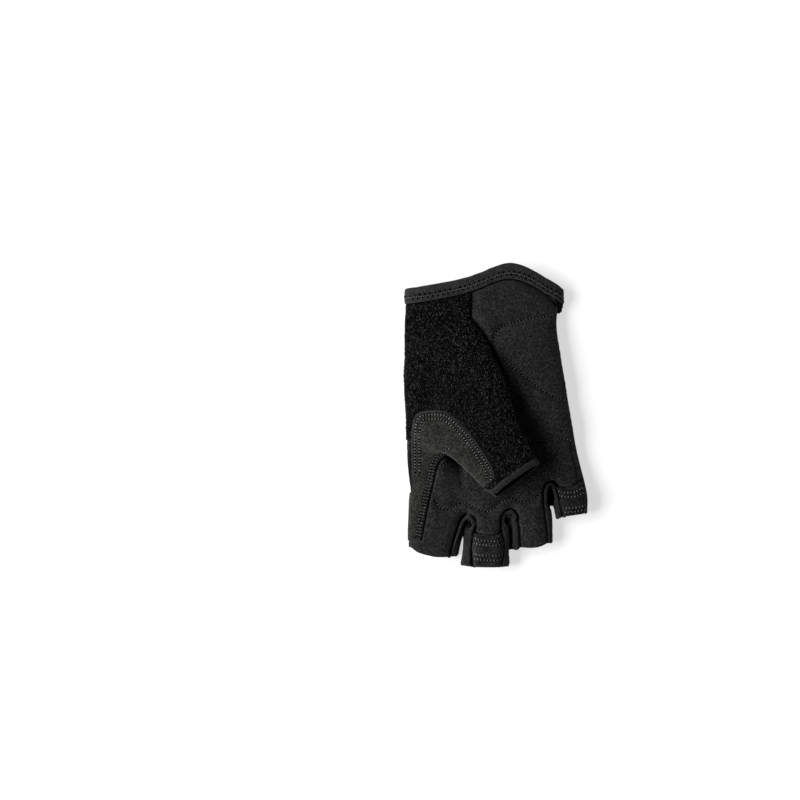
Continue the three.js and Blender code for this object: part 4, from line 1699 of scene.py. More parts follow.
def pile_tree(loop: float, yarn: float, spacing: float, density: float, finish: Finish) -> Sewing:
    """A tree that covers a cloth with small loops of yarn.

    Args:
        loop: A loop's radius, in millimetres.
        yarn: The yarn's radius.
        spacing: The least distance between two loops.
        density: The most loops on a square millimetre.
        finish: The yarn's finish.

    Returns:
        The tree.
    """
    t = Sewing("pile", {
        "Loop": loop * MM, "Yarn": yarn * MM, "Spacing": spacing * MM, "Density": density / MM**2, "Seed": 11,
        "Starts": math.radians(-28), "Sweep": math.radians(236), "Towelling": finish.made(),
    })
    places = {
        0: t.inputs["Geometry"], "Distance Min": t.inputs["Spacing"], "Density Max": t.inputs["Density"],
        "Seed": t.inputs["Seed"],
    }
    made = t.node("GeometryNodeDistributePointsOnFaces", places, distribute_method="POISSON")
    angles = {"Start Angle": t.inputs["Starts"], "Sweep Angle": t.inputs["Sweep"]}
    arc = t.node("GeometryNodeCurveArc", {"Resolution": 5, "Radius": t.inputs["Loop"], **angles})[0]
    ring = t.node("GeometryNodeCurvePrimitiveCircle", {"Resolution": 3, "Radius": t.inputs["Yarn"]})[0]
    tube = t.node("GeometryNodeCurveToMesh", {0: arc, 1: ring})[0]
    loop_up = t.node("GeometryNodeTransform", {0: tube, "Rotation": (math.pi / 2, 0, 0)})[0]
    spin = t.random(-0.9, 0.9, t.inputs["Seed"])
    lean = t.random(-0.55, 0.55, 23)
    rotation = t.laid_along(made["Normal"], (0.45, 1.0, 0.0), t.combined(lean, 0.0, spin))
    grown = t.random(0.7, 1.25, 31)
    size = t.combined(grown, grown, grown)
    loops = {0: made["Points"], "Instance": loop_up, "Rotation": rotation, "Scale": size}
    t.finished(t.node("GeometryNodeInstanceOnPoints", loops)[0], "Towelling")
    return t


@dataclass
class Surface:
    """A finished cloth that lines can be laid on."""

    points: Array
    triangles: Array
    ABOVE = 60  # heights well above and below the glove
    BELOW = -20

    def __post_init__(self) -> None:
        """Makes the tree that finds where a ray meets the cloth."""
        self.tree = BVHTree.FromPolygons(self.points.tolist(), self.triangles.tolist())

    def under(self, line: Array, lift: float, down: bool = True) -> tuple[Array, Array]:
        """Lays a line in plan on the cloth, from above or from below.

        Args:
            line: The line's points, of which x and y count.
            lift: How far above the cloth it lies.
            down: Whether the line comes from above.

        Returns:
            The points on the cloth and the directions out of it. Points that miss it are left out.
        """
        points, ups = [], []
        way = Vector((0, 0, -1 if down else 1))
        for x, y in line[:, :2]:
            hit, up, _, _ = self.tree.ray_cast(Vector((x, y, self.ABOVE if down else self.BELOW)), way)
            if hit is not None:
                up = up if up.dot(way) < 0 else -up
                points.append(np.array(hit) + np.array(up) * lift)
                ups.append(np.array(up))
        return np.array(points), np.array(ups)

    def beneath(self, line: Array, lift: float) -> tuple[Array, Array]:
        """Lays a line on the nearest places of the cloth.

        Args:
            line: The line's points.
            lift: How far above the cloth it lies.

        Returns:
            The points on the cloth and the directions out of it.
        """
        points, ups = [], []
        for point in line:
            hit, up, _, _ = self.tree.find_nearest(Vector(point))
            points.append(np.array(hit) + np.array(up) * lift)
            ups.append(np.array(up))
        return np.array(points), np.array(ups)


@dataclass
class Rows:
    """Rows of sewing: lines that lie on the cloth, which a tree turns into thread."""

    points: list = field(default_factory=list)
    ups: list = field(default_factory=list)
    lowest: float = 0.45  # how far above the floor a row stays

    def add(self, points: Array, ups: Array) -> None:
        """Adds one row, with its directions softened along it.

        Args:
            points: The row's points.
            ups: The directions out of the cloth at them.
        """
        if len(points) > 2:
            points[:, 2] = np.maximum(points[:, 2], self.lowest)
            soft = np.vstack([ups[:1], (ups[:-2] + ups[1:-1] + ups[2:]) / 3, ups[-1:]])
            self.points.append(points)
            self.ups.append(unit(soft))

    def base(self) -> Piece:
        """Makes one object of edges from the rows.

        Returns:
            The object, which carries the directions.
        """
        mesh = bpy.data.meshes.new("rows")
        edges, start = [], 0
        for row in self.points:
            edges += [(i, i + 1) for i in range(start, start + len(row) - 1)]
            start += len(row)
        mesh.from_pydata(placed(np.vstack(self.points)).tolist(), edges, [])
        up = mesh.attributes.new("up", "FLOAT_VECTOR", "POINT")
        up.data.foreach_set("vector", np.vstack(self.ups).astype(np.float32).ravel())
        return linked("rows", mesh)


# The glove's sub-assemblies


@dataclass
class Shell:
    """The glove's panels, each with the relief that its seams and its wear give it."""

    edge_lines: tuple = (0.45, 1.0)  # how far from a seam the cloth gets edges along it
    patch_lines: tuple = (0.35, 0.8)
    level_from: tuple = (0.2, 0.4)  # how upright the normals of level cloth are, and over what range
    seam_depth: float = 0.55
    seam_upright: float = 0.25  # share of it on cloth that stands upright
    seam_roll: float = 1.25
    seam_reach: float = 2.6
    pucker: tuple = (0.12, 1.7, 3)  # height, width and seed of its lumps, as for all lumps below
    groove_depth: float = 0.95
    groove_width: float = 0.9
    groove_reach: float = 2.2
    groove_pucker: tuple = (0.22, 2.1, 9)
    puff: float = 0.95
    puff_reach: float = 6.0
    puff_start: float = -0.3
    palm_folds: tuple = (0.2, 9.0, 5)
    folds_drawn: tuple = (1, 0.7, 1)  # the palm's folds are longer along it than across
    palm_lumps: tuple = (0.1, 3.0, 6)
    patch_rise: tuple = (0.8, 7.0)  # how much the palm rises towards the patch, and from how far
    patch_rise_top: tuple = (-23.0, 6.0)  # where that ends towards the cuff, and over what length
    tuck: tuple = (2.2, 8.4)  # how deep the palm goes beside the thumb's fold, and how much more low down
    tuck_reach: tuple = (3.6, 26.0)
    tuck_top: tuple = (57.0, 6.0)
    tuck_rim: tuple = (-25.5, -33.0, 7.0)  # the fold's rim lies right of, above and higher than these
    tuck_low: tuple = (-7.0, 23.0, -30.0, 9.0)  # its low part: middle and reach, left end and softness
    tuck_level: float = 4.0  # how far from the fold the low part stays as deep
    valley: tuple = ((-24.6, -19.6), (-21.4, -23.6), (-19.4, -30.0), (-18.6, -39.0))  # from the crotch
    valley_depth: tuple = (0.8, 6.6)
    valley_width: tuple = (2.0, 0.9)
    valley_end: tuple = (-36.0, 15.0)  # where it starts to deepen, and over what length
    patch_groove: tuple = (1.1, 0.9)  # depth and reach
    fold_groove: tuple = (0.9, 1.1)
    fold_deeper: tuple = (60.0, 9.0, 28.0, 10.0)  # the terry's deeper stretch: its ends, each with a softness
    gusset_depth: float = 1.5  # how deep the seams beside the gussets are
    gusset_reach: float = 1.2
    roll_bed: tuple = (0.9, 2.2)  # under a gusset's rolled edge
    roll_groove: tuple = (1.7, 1.35, 0.5)  # beside it: depth, distance and width
    cuff_gap: tuple = (1.0, 0.8)  # how far from the cuff its groove lies, and where it starts
    palm_cuff: tuple = (2.1, 0.75)  # that groove's depth and width
    open_end: tuple = (4.0, 16.0, 1.9, 0.5)  # from where it opens, over what width, how much deeper and wider
    terry_cuff: tuple = (1.2, 0.7)
    tab_groove: tuple = (3.0, 1.3, 1.0)  # depth at a tab's root and at its sides, and width
    tab_past: float = 0.8  # how far past the root the groove lies
    terry_lumps: tuple = ((0.45, 14.0, 21), (0.18, 5.0, 22))
    patch_lift: float = 0.55
    patch_edge: tuple = (1.1, 0.8)
    patch_upright: float = 0.45
    patch_stitch: tuple = (0.28, 0.6)
    patch_pucker: tuple = (0.1, 1.8, 31)
    patch_pucker_reach: float = 1.5
    patch_lumps: tuple = ((0.25, 8.0, 32), (0.08, 2.6, 33))
    patch_rows: tuple = (-2.4, -4.8)
    palm_rows: tuple = (-1.7, -3.4)
    back_lumps: tuple = (0.16, 11.0, 41)
    gusset_lumps: tuple = (0.15, 2.8, 51)
    gusset_crease: tuple = (1.6, 0.75)
    hollow_from: float = 0.4  # share of a hollow's reach
    faces: dict = field(default_factory=dict)

    def __post_init__(self) -> None:
        """Cuts the skin into its panels."""
        self.cloths = Zones(Skin()).panels()

    def scored(self, cloth: Cloth, levels: tuple) -> tuple[Cloth, Array]:
        """Lays edges along a cloth's border.

        Args:
            cloth: The cloth.
            levels: The distances from the border at which they are laid.

        Returns:
            The cloth, and how far each of its points is from the border.
        """
        rim = cloth.rim()
        for level in levels:
            cloth = cloth.scored(cloth.from_rim(rim) - level)
        return cloth, cloth.from_rim(rim)

    def seam(self, cloth: Cloth, border: Array) -> Array:
        """How a panel sinks and puckers towards its border.

        Args:
            cloth: The panel.
            border: How far its points are from the border.

        Returns:
            A height for each point.
        """
        near = fade(border, self.seam_roll) * self.facing(cloth, self.seam_upright)
        height, size, seed = self.pucker
        wide = np.exp(-border / self.seam_reach)
        return -self.seam_depth * near + height * wide * noise(cloth.points, size, seed)

    def facing(self, cloth: Cloth, least: float) -> Array:
        """How much the cloth faces up or down rather than sideways, from the least to 1."""
        return least + (1 - least) * self.level(np.abs(cloth.normals[:, 2]))

    def level(self, upright: Array) -> Array:
        """How much a face counts as level, from how upright its normal is."""
        return smooth((upright - self.level_from[0]) / self.level_from[1])

    def beside_cuff(self, cloth: Cloth, depth: Array | float, width: Array | float) -> Array:
        """How a panel sinks along the binding, without leaving it.

        Args:
            cloth: The panel.
            depth: How deep it sinks.
            width: How wide the groove is.

        Returns:
            A height for each point, 0 or less.
        """
        gap = cuff_y(cloth.points[:, 0]) - cloth.points[:, 1]
        upper = smooth(cloth.normals[:, 2] / self.level_from[1])
        return -depth * upper * bell(gap - self.cuff_gap[0], width) * smooth(gap / self.cuff_gap[1])

    def kept(self, name: str, cloth: Cloth, finish: Finish) -> Piece:
        """Makes a panel's piece and keeps its outer face for the sewing.

        Args:
            name: The panel's name.
            cloth: Its outer face.
            finish: Its finish.

        Returns:
            The piece.
        """
        self.faces[name] = Surface(cloth.points, cloth.triangles)
        points, triangles = cloth.walled(WALL)
        log.info("%s: %d triangles", name, len(triangles))
        return mesh_piece(f"{name}_cloth", points, triangles, finish)

    def palm(self) -> Piece:
        """The padded palm, quilted along its lines.

        Returns:
            Its piece.
        """
        cloth, _ = self.scored(self.cloths["palm_panel"], self.edge_lines)
        lines = [spline(line) for line in QUILTING]
        for line, level in product(lines, self.edge_lines):
            cloth = cloth.scored(line_distance(cloth.points, line) - level)
        p = cloth.points
        border = cloth.from_rim(cloth.rim())
        quilt = np.minimum.reduce([line_distance(p, line) for line in lines])
        relief = -self.groove_depth * bell(quilt, self.groove_width)
        relief += self.puff_start + self.puff * smooth(np.minimum(quilt, border) / self.puff_reach)
        relief += np.exp(-quilt / self.groove_reach) * lumps(p, self.groove_pucker)
        relief += lumps(p * self.folds_drawn, self.palm_folds) + lumps(p, self.palm_lumps)
        relief += self.beside_thumb(cloth) + self.beside_gussets(cloth) + self.beside_tabs(cloth)
        start, length, deeper, wider = self.open_end
        opened = smooth((p[:, 0] - start) / length)
        depth, width = self.palm_cuff
        relief += self.beside_cuff(cloth, depth + deeper * opened, width + wider * opened)
        heights = self.seam(cloth, border) + self.level(cloth.normals[:, 2]) * relief
        return self.kept("palm_panel", cloth.raised(heights), Finish.PALM)

    def beside_thumb(self, cloth: Cloth) -> Array:
        """How the palm rises to the patch, and sinks beside it and beside the folded thumb.

        Args:
            cloth: The palm.

        Returns:
            A height for each point.
        """
        x, y, _ = cloth.points.T
        beside_patch = cloth.from_rim(self.cloths["thumb_patch"].rim())
        rise, reach = self.patch_rise
        top, length = self.patch_rise_top
        heights = rise * fade(beside_patch, reach) * smooth((top - y) / length)
        rim = np.vstack([self.cloths[name].rim() for name in ("terry_panel", "thumb_patch")])
        tuck = cloth.from_rim(rim[(rim > self.tuck_rim).all(1)])
        top, length = self.tuck_top
        heights -= self.tuck[0] * fade(tuck, self.tuck_reach[0]) * smooth((top - y) / length)
        middle, reach, left, width = self.tuck_low
        low = bell(y - middle, reach) * smooth((x - left) / width)
        heights -= self.tuck[1] * low * fade(tuck - self.tuck_level, self.tuck_reach[1] - self.tuck_level)
        end, length = self.valley_end
        open_part = smooth((y - end) / length)
        depth, width = (a + b * open_part for a, b in (self.valley_depth, self.valley_width))
        heights -= depth * bell(line_distance(cloth.points, spline(self.valley)), width)
        for near, (depth, reach) in ((beside_patch, self.patch_groove), (tuck, self.fold_groove)):
            heights -= depth * fade(near, reach)
        return heights

    def beside_gussets(self, cloth: Cloth) -> Array:
        """How the palm sinks along the gussets and under their rolled edges.

        Args:
            cloth: The palm.

        Returns:
            A height for each point, 0 or less.
        """
        heights = np.zeros(len(cloth.points))
        bed, bed_reach = self.roll_bed
        groove, distance, width = self.roll_groove
        for name in GUSSETS:
            seam = cloth.from_rim(self.cloths[name].rim())
            heights -= (self.gusset_depth - self.seam_depth) * fade(seam, self.gusset_reach)
            roll = line_distance(cloth.points, spline(LOOPS[name].path))
            heights -= bed * fade(roll, bed_reach) + groove * bell(roll - distance, width)
        return heights

    def beside_tabs(self, cloth: Cloth) -> Array:
        """How the palm sinks along the roots and the sides of the pull tabs.

        Args:
            cloth: The palm.

        Returns:
            A height for each point, 0 or less.
        """
        heights = np.zeros(len(cloth.points))
        root, side, width = self.tab_groove
        for tab in TABS.values():
            edges = ((tab.root, self.tab_past, root), (tab.left, 0, side), (tab.right, 0, side))
            for edge, past, depth in edges:
                heights -= depth * bell(line_distance(cloth.points, spline(edge) + (0, past)), width)
        return heights

    def terry(self) -> Piece:
        """The towelling of the thumb's ball and outer face.

        Returns:
            Its piece.
        """
        cloth, border = self.scored(self.cloths["terry_panel"], self.edge_lines)
        relief = lumps(cloth.points, *self.terry_lumps)
        relief += self.beside_cuff(cloth, *self.terry_cuff)
        top, top_length, end, end_length = self.fold_deeper
        y = cloth.points[:, 1]
        deeper = 1 + smooth((top - y) / top_length) * smooth((y - end) / end_length)
        depth, reach = self.fold_groove
        relief -= depth * deeper * fade(cloth.from_rim(self.cloths["palm_panel"].rim()), reach)
        return self.kept("terry_panel", cloth.raised(self.seam(cloth, border) + relief), Finish.TERRY)

    def patch(self) -> Piece:
        """The suede saddle over the crotch of the thumb, raised and sewn twice along its edges.

        Returns:
            Its piece.
        """
        cloth, _ = self.scored(self.cloths["thumb_patch"], self.patch_lines)
        border = cloth.from_rim(cloth.rim())
        near = np.minimum.reduce([line_distance(cloth.points, row) for row in self.patch_sewn()])
        depth, reach = self.patch_edge
        heights = self.patch_lift - depth * fade(border, reach) * self.facing(cloth, self.patch_upright)
        depth, width = self.patch_stitch
        heights -= depth * bell(near, width)
        heights += np.exp(-near / self.patch_pucker_reach) * lumps(cloth.points, self.patch_pucker)
        heights += lumps(cloth.points, *self.patch_lumps)
        return self.kept("thumb_patch", cloth.raised(heights), Finish.PATCH)

    def patch_sewn(self) -> list[Array]:
        """Where the patch is sewn, seen from above.

        Returns:
            Two rows along each of its two edges.
        """
        rows = []
        for line, offsets in ((PATCH_TOP_SEWN, self.patch_rows), (PATCH_SEWN, self.palm_rows)):
            edge = spaced(spline(line, steps=8), pitch=0.5)
            rows += [beside(edge, by) for by in offsets]
        return rows

    def back(self) -> Piece:
        """The smooth back that the glove lies on.

        Returns:
            Its piece.
        """
        cloth, border = self.scored(self.cloths["back_panel"], self.edge_lines)
        lift = lumps(cloth.points, self.back_lumps) - self.back_lumps[0]
        return self.kept("back_panel", cloth.raised(self.seam(cloth, border) + lift), Finish.BACK)

    def gusset(self, name: str) -> Piece:
        """The gusset between two fingers, hollowed inside its loop.

        Args:
            name: The gusset's name.

        Returns:
            Its piece.
        """
        cloth, border = self.scored(self.cloths[name], self.edge_lines)
        loop = LOOPS[name]
        middle, reach = np.array(loop.hollow[:2]), np.array(loop.hollow[2:])
        inner = np.linalg.norm((cloth.points[:, :2] - middle) / reach, axis=1)
        heights = self.seam(cloth, border) * (self.gusset_depth / self.seam_depth)
        heights -= loop.depth * fade(inner - self.hollow_from, 1.0)
        depth, width = self.gusset_crease
        heights -= depth * bell(line_distance(cloth.points, spline(loop.crease)), width)
        return self.kept(name, cloth.raised(heights + lumps(cloth.points, self.gusset_lumps)), Finish.GUSSET)


@dataclass(frozen=True)
class Loop:
    """The folded edge of a gusset, which stands up round the crotch of two fingers.

    The path holds x, y and height above the cloth; the hollow holds its middle and its two reaches.
    """

    path: tuple
    hollow: tuple
    crease: tuple
    depth: float
    thick: float = 0.85
    lumps: tuple = (0.12, 2.4, 61)
    pitch: float = 0.45
    level: float = 6.0  # where no cloth lies under it
    smoothed: int = 9  # over how many points its height is averaged
    taper: float = 0.07  # share of the length over which each end gets thin
    thinnest: float = 0.02
    around: int = 14
    wide: float = 0.92
    high: float = 1.1

    def core(self, faces: list[Surface]) -> Array:
        """The roll's middle line.

        Args:
            faces: The cloths that it lies on.

        Returns:
            The line's points.
        """
        points = []
        for x, y, rise in spaced(spline(self.path, steps=6), self.pitch):
            hits = [face.under(np.array([[x, y]]), 0.0)[0] for face in faces]
            level = max((hit[0, 2] for hit in hits if len(hit)), default=self.level)
            points.append((x, y, level + rise))
        core = np.array(points)
        padded = np.pad(core[:, 2], self.smoothed // 2, mode="edge")
        core[:, 2] = np.convolve(padded, np.ones(self.smoothed) / self.smoothed, "valid")
        return core

    def built(self, name: str, faces: list[Surface]) -> Piece:
        """A soft roll along the path, flattened against the cloth and thin at its ends.

        Args:
            name: The piece's name.
            faces: The cloths that it lies on.

        Returns:
            The piece.
        """
        core = self.core(faces)
        along = unit(np.gradient(core, axis=0))
        side = unit(np.cross(along, [0, 0, 1.0]))
        up = np.cross(side, along)
        share = np.linspace(0, 1, len(core))
        ends = np.minimum(share, 1 - share) / self.taper
        size = self.thick * np.sqrt(np.clip(ends, self.thinnest, 1))
        size = (size * (1 + lumps(core, self.lumps)))[:, None, None]
        turn = np.arange(self.around) / self.around * 2 * math.pi
        out, rise = (np.cos(turn) * self.wide)[None, :, None], (np.sin(turn) * self.high)[None, :, None]
        rings = core[:, None] + side[:, None] * out * size + up[:, None] * rise * size
        points, quads, fans = closed_tube(rings)
        faced = outwards(points, quads)
        fans = fans if faced is quads else fans[:, ::-1]
        points[:, 2] = np.maximum(points[:, 2], CLEAR)
        return mesh_piece(name, points, np.vstack([halves(faced), fans]), Finish.GUSSET)


LOOPS = {
    "fourchette_index_middle": Loop((
        (-24.0, -76.2, -0.2), (-22.7, -71.1, 0.2), (-20.6, -64.6, 0.5), (-19.0, -60.2, 0.7),
        (-17.5, -57.1, 0.8), (-15.2, -55.9, 0.8), (-12.8, -57.0, 0.8), (-11.9, -58.9, 0.7),
        (-12.5, -61.4, 0.4), (-14.2, -63.2, -0.2),
    ), (-15.4, -59.6, 2.0, 2.6), ((-17.4, -58.4), (-14.0, -61.6)), depth=3.4),
    "fourchette_middle_ring": Loop((
        (4.2, -64.0, -0.2), (3.9, -59.5, 0.4), (4.0, -56.4, 0.7), (5.4, -54.0, 0.8), (7.8, -53.0, 0.8),
        (10.0, -54.0, 0.8), (10.8, -55.8, 0.7), (10.2, -57.6, 0.3), (8.8, -59.0, -0.4),
    ), (6.9, -58.0, 1.9, 2.4), ((7.4, -59.2), (8.3, -63), (8.4, -76)), depth=3.2),
    "fourchette_ring_little": Loop((
        (27.3, -49.5, -0.6), (27.4, -45.2, 0.0), (27.5, -41.2, 0.5), (28.4, -38.7, 0.7), (30.1, -37.7, 0.8),
        (31.8, -39.0, 0.7), (33.0, -43.0, 0.5), (34.3, -48.5, 0.2), (35.4, -53.6, -0.3),
    ), (29.9, -45.8, 1.6, 4.6), ((29.8, -41), (30.4, -49)), depth=2.6),
}


@dataclass(frozen=True)
class Band:
    """A tape sewn round an open edge.

    The profile's points hold how far they lie past the edge and how far outside the cloth.
    """

    base: Array
    outward: Array
    along: Array
    profile: tuple
    finish: Finish
    painted_shade_from: int  # the profile's point from which the faces, round to the first point, are painted near black as shade
    wave: float
    waves: tuple = ((1.0, 7.0, 71), (0.4, 2.6, 72))  # its lumps
    wave_ways: tuple = (1.1, 0.8)  # how much of it goes past the edge and outwards
    free: tuple = (3.0, 4.0)  # from where past the edge the tape waves that way, and over what width
    ribs: float = 0.0  # how high the ribs across the band are
    rib_turn: float = 0.0  # how far round a rib's wave one station of the edge goes

    def rings(self) -> Array:
        """The profile at each station of the edge, a little wavy.

        Returns:
            The profile's points, station after station.
        """
        outline = np.array(self.profile, float)[None, :, :, None]
        sway = self.wave * lumps(self.base, *self.waves)[:, None, None]
        rib = (self.ribs * np.sin(np.arange(len(self.base)) * self.rib_turn))[:, None, None]
        past, out = outline[:, :, 0], outline[:, :, 1]
        past = past + sway * self.wave_ways[0] * smooth((past - self.free[0]) / self.free[1])
        out = out + sway * self.wave_ways[1] + rib
        rings = self.base[:, None] + self.along[:, None] * past + self.outward[:, None] * out
        rings[..., 2] = np.maximum(rings[..., 2], CLEAR)
        return rings

    def built(self, name: str) -> tuple[Piece, Surface]:
        """Makes the band.

        Args:
            name: The piece's name.

        Returns:
            Its piece, and its surface for the sewing.
        """
        rings = self.rings()
        stations, size, _ = rings.shape
        points = rings.reshape(-1, 3)
        quads = outwards(points, tube_quads(stations, size, True))
        piece = mesh_piece(name, points, quads, self.finish)
        # painted shade: the faces from that point of the profile on get a near-black material
        piece.data.materials.append(Finish.FOLD_SHADE.made())
        lined = np.arange(len(quads)) % size >= self.painted_shade_from
        piece.data.polygons.foreach_set("material_index", lined.astype(np.int32))
        return piece, Surface(points, halves(quads))

    def line(self, past: float, out: float) -> Array:
        """A line round the band, at a distance past the edge and outside the cloth."""
        points = self.base + self.along * past + self.outward * out
        return np.vstack([points, points[:1]])


def frame_of(base: Array, ahead: Array) -> tuple[Array, Array]:
    """The directions out of a closed edge and past it.

    Args:
        base: Points round the edge.
        ahead: The direction past it, roughly.

    Returns:
        The directions outwards and past the edge.
    """
    tangent = unit(np.roll(base, -1, axis=0) - np.roll(base, 1, axis=0))
    outward = np.cross(tangent, np.broadcast_to(ahead, base.shape))
    middle = base.mean(0)
    outward = unit(outward * np.sign(((base - middle) * outward).sum()))
    for _ in range(2):
        outward = unit(np.roll(outward, 1, axis=0) + 2 * outward + np.roll(outward, -1, axis=0))
    past = np.cross(outward, tangent)
    past = unit(past * np.sign((past @ ahead))[:, None])
    return outward, past


@dataclass
class Cuff:
    """The binding round the wrist, sewn down with a zigzag."""

    width: float = 8.1
    proud: float = 0.9
    corner: tuple = (26.0, 8.0)  # where the corner at the little finger's side starts, and over what width
    dip: float = 4.6  # how far the back hangs down there
    flare: float = 2.3
    flare_low: tuple = (0.5, 6.0, 4.0)  # how much less it flares low down, from what height, over how much
    pitch: float = 0.5
    wave: float = 0.22
    # from this point of the profile on, its faces are painted near black: the shade in the seam under the
    # binding's edge
    painted_shade_from: int = 21

    def band(self) -> Band:
        """The binding's band.

        Returns:
            The band.
        """
        ring = HAND.section(HAND.table()[1])
        upper = ring[:, 3] > 0.5
        base = ring[:, :3].copy()
        base[upper, 1] = cuff_y(base[upper, 0])
        right = smooth((base[:, 0] - self.corner[0]) / self.corner[1])
        base[~upper, 1] -= self.dip * right[~upper]
        less, height, length = self.flare_low
        low = smooth((height - base[:, 2]) / length)
        base[:, 0] += self.flare * right * np.where(upper, 1.0, 1 - less * low)
        base = spaced(np.vstack([base, base[:1]]), self.pitch)[:-1]
        past = np.array([0, 1.0, 0])
        outward, _ = frame_of(base, past)
        w, p = self.width, self.proud
        # The last points make a lip that lies under the binding's edge, painted near black as the seam's
        # shade.
        profile = (
            (-0.35, 0.12), (-0.42, 0.4), (-0.3, 0.78), (0.1, p), (0.9, p + 0.02), (1.3, p - 0.06),
            (2.3, p - 0.14), (3.3, p - 0.06), (3.8, p + 0.04), (5.0, p + 0.06), (6.4, p + 0.02),
            (7.2, p - 0.12), (w - 0.35, p - 0.4), (w, p - 0.95), (w - 0.3, -0.45), (w - 0.8, -0.8),
            (6.0, -0.95), (4.0, -0.95), (2.0, -1.1), (0.6, -1.7), (0.06, -1.6), (0.06, -0.55),
            (-0.5, -0.75), (-1.05, -0.95), (-1.1, -0.6), (-0.4, -0.1),
        )
        along = np.broadcast_to(past, base.shape)
        return Band(base, outward, along, profile, Finish.BINDING, self.painted_shade_from, self.wave)


@dataclass
class ThumbHem:
    """The rolled hem of the thumb's mouth."""

    width: float = 3.0
    pitch: float = 0.3
    slant: float = 1.45  # how much further the lower lip reaches
    starts: tuple = (-3.4, 2.5)  # where the hem comes out of the fold beside the patch, and over what width
    ends: tuple = (20.0, 3.5)  # where its blunt end starts, and over what width
    end_lift: float = 0.5
    least: float = 0.25  # share of the hem's width that stays at both ends
    rounds: int = 4  # how often the edge is brought nearer to the line of the mouth
    wave: float = 0.42
    ribs: float = 0.17
    rib_turn: float = 2.1
    # from this point of the profile on, the hem's inside is painted near black as shade
    painted_shade_from: int = 8

    def band(self) -> Band:
        """The hem's band.

        Returns:
            The band.
        """
        ring = THUMB.section(THUMB.table()[-1])
        base = spaced(np.vstack([ring, ring[:1]]), self.pitch)[:-1]
        axis = np.array(Skin.mouth_axis)
        outward, past = frame_of(base, axis)
        level = (base[:, 2] - base[:, 2].mean()) / np.ptp(base[:, 2]) * 2
        for _ in range(self.rounds):
            base = base - axis * (short_of_mouth(base) * -axis[1])[:, None]
        base = base - axis * (level * self.slant)[:, None]
        end = smooth((base[:, 0] - self.ends[0]) / self.ends[1])
        base = base + outward * (self.end_lift * end)[:, None]
        out = smooth((base[:, 0] - self.starts[0]) / self.starts[1])
        past = past * (self.least + (1 - self.least) * out - self.least * end)[:, None]
        w = self.width
        profile = (
            (-0.4, 0.05), (-0.45, 0.3), (-0.2, 0.55), (0.5, 0.62), (1.4, 0.66), (2.2, 0.55), (w - 0.15, 0.2),
            (w, -0.4), (w - 0.55, -0.95), (1.8, -1.1), (0.8, -1.0), (0.05, -0.8), (0.05, -0.2),
        )
        return Band(
            base, outward, past, profile, Finish.HEM, self.painted_shade_from, self.wave, ribs=self.ribs,
            rib_turn=self.rib_turn,
        )


def along_line(line: tuple, shares: Array) -> Array:
    """Points at shares of a line's length.

    Args:
        line: The line's points, seen from above.
        shares: The shares, from 0 to 1.

    Returns:
        One point for each share.
    """
    fine = spaced(spline(line, steps=6), pitch=0.2)
    place = shares * (len(fine) - 1)
    return np.column_stack([np.interp(place, np.arange(len(fine)), fine[:, k]) for k in range(2)])


def surface_terms(a: Array, b: Array) -> Array:
    """The terms of a smooth height over two directions."""
    return np.column_stack([np.ones_like(a), a, b, a * a, a * b, b * b, a**4, a * a * b])


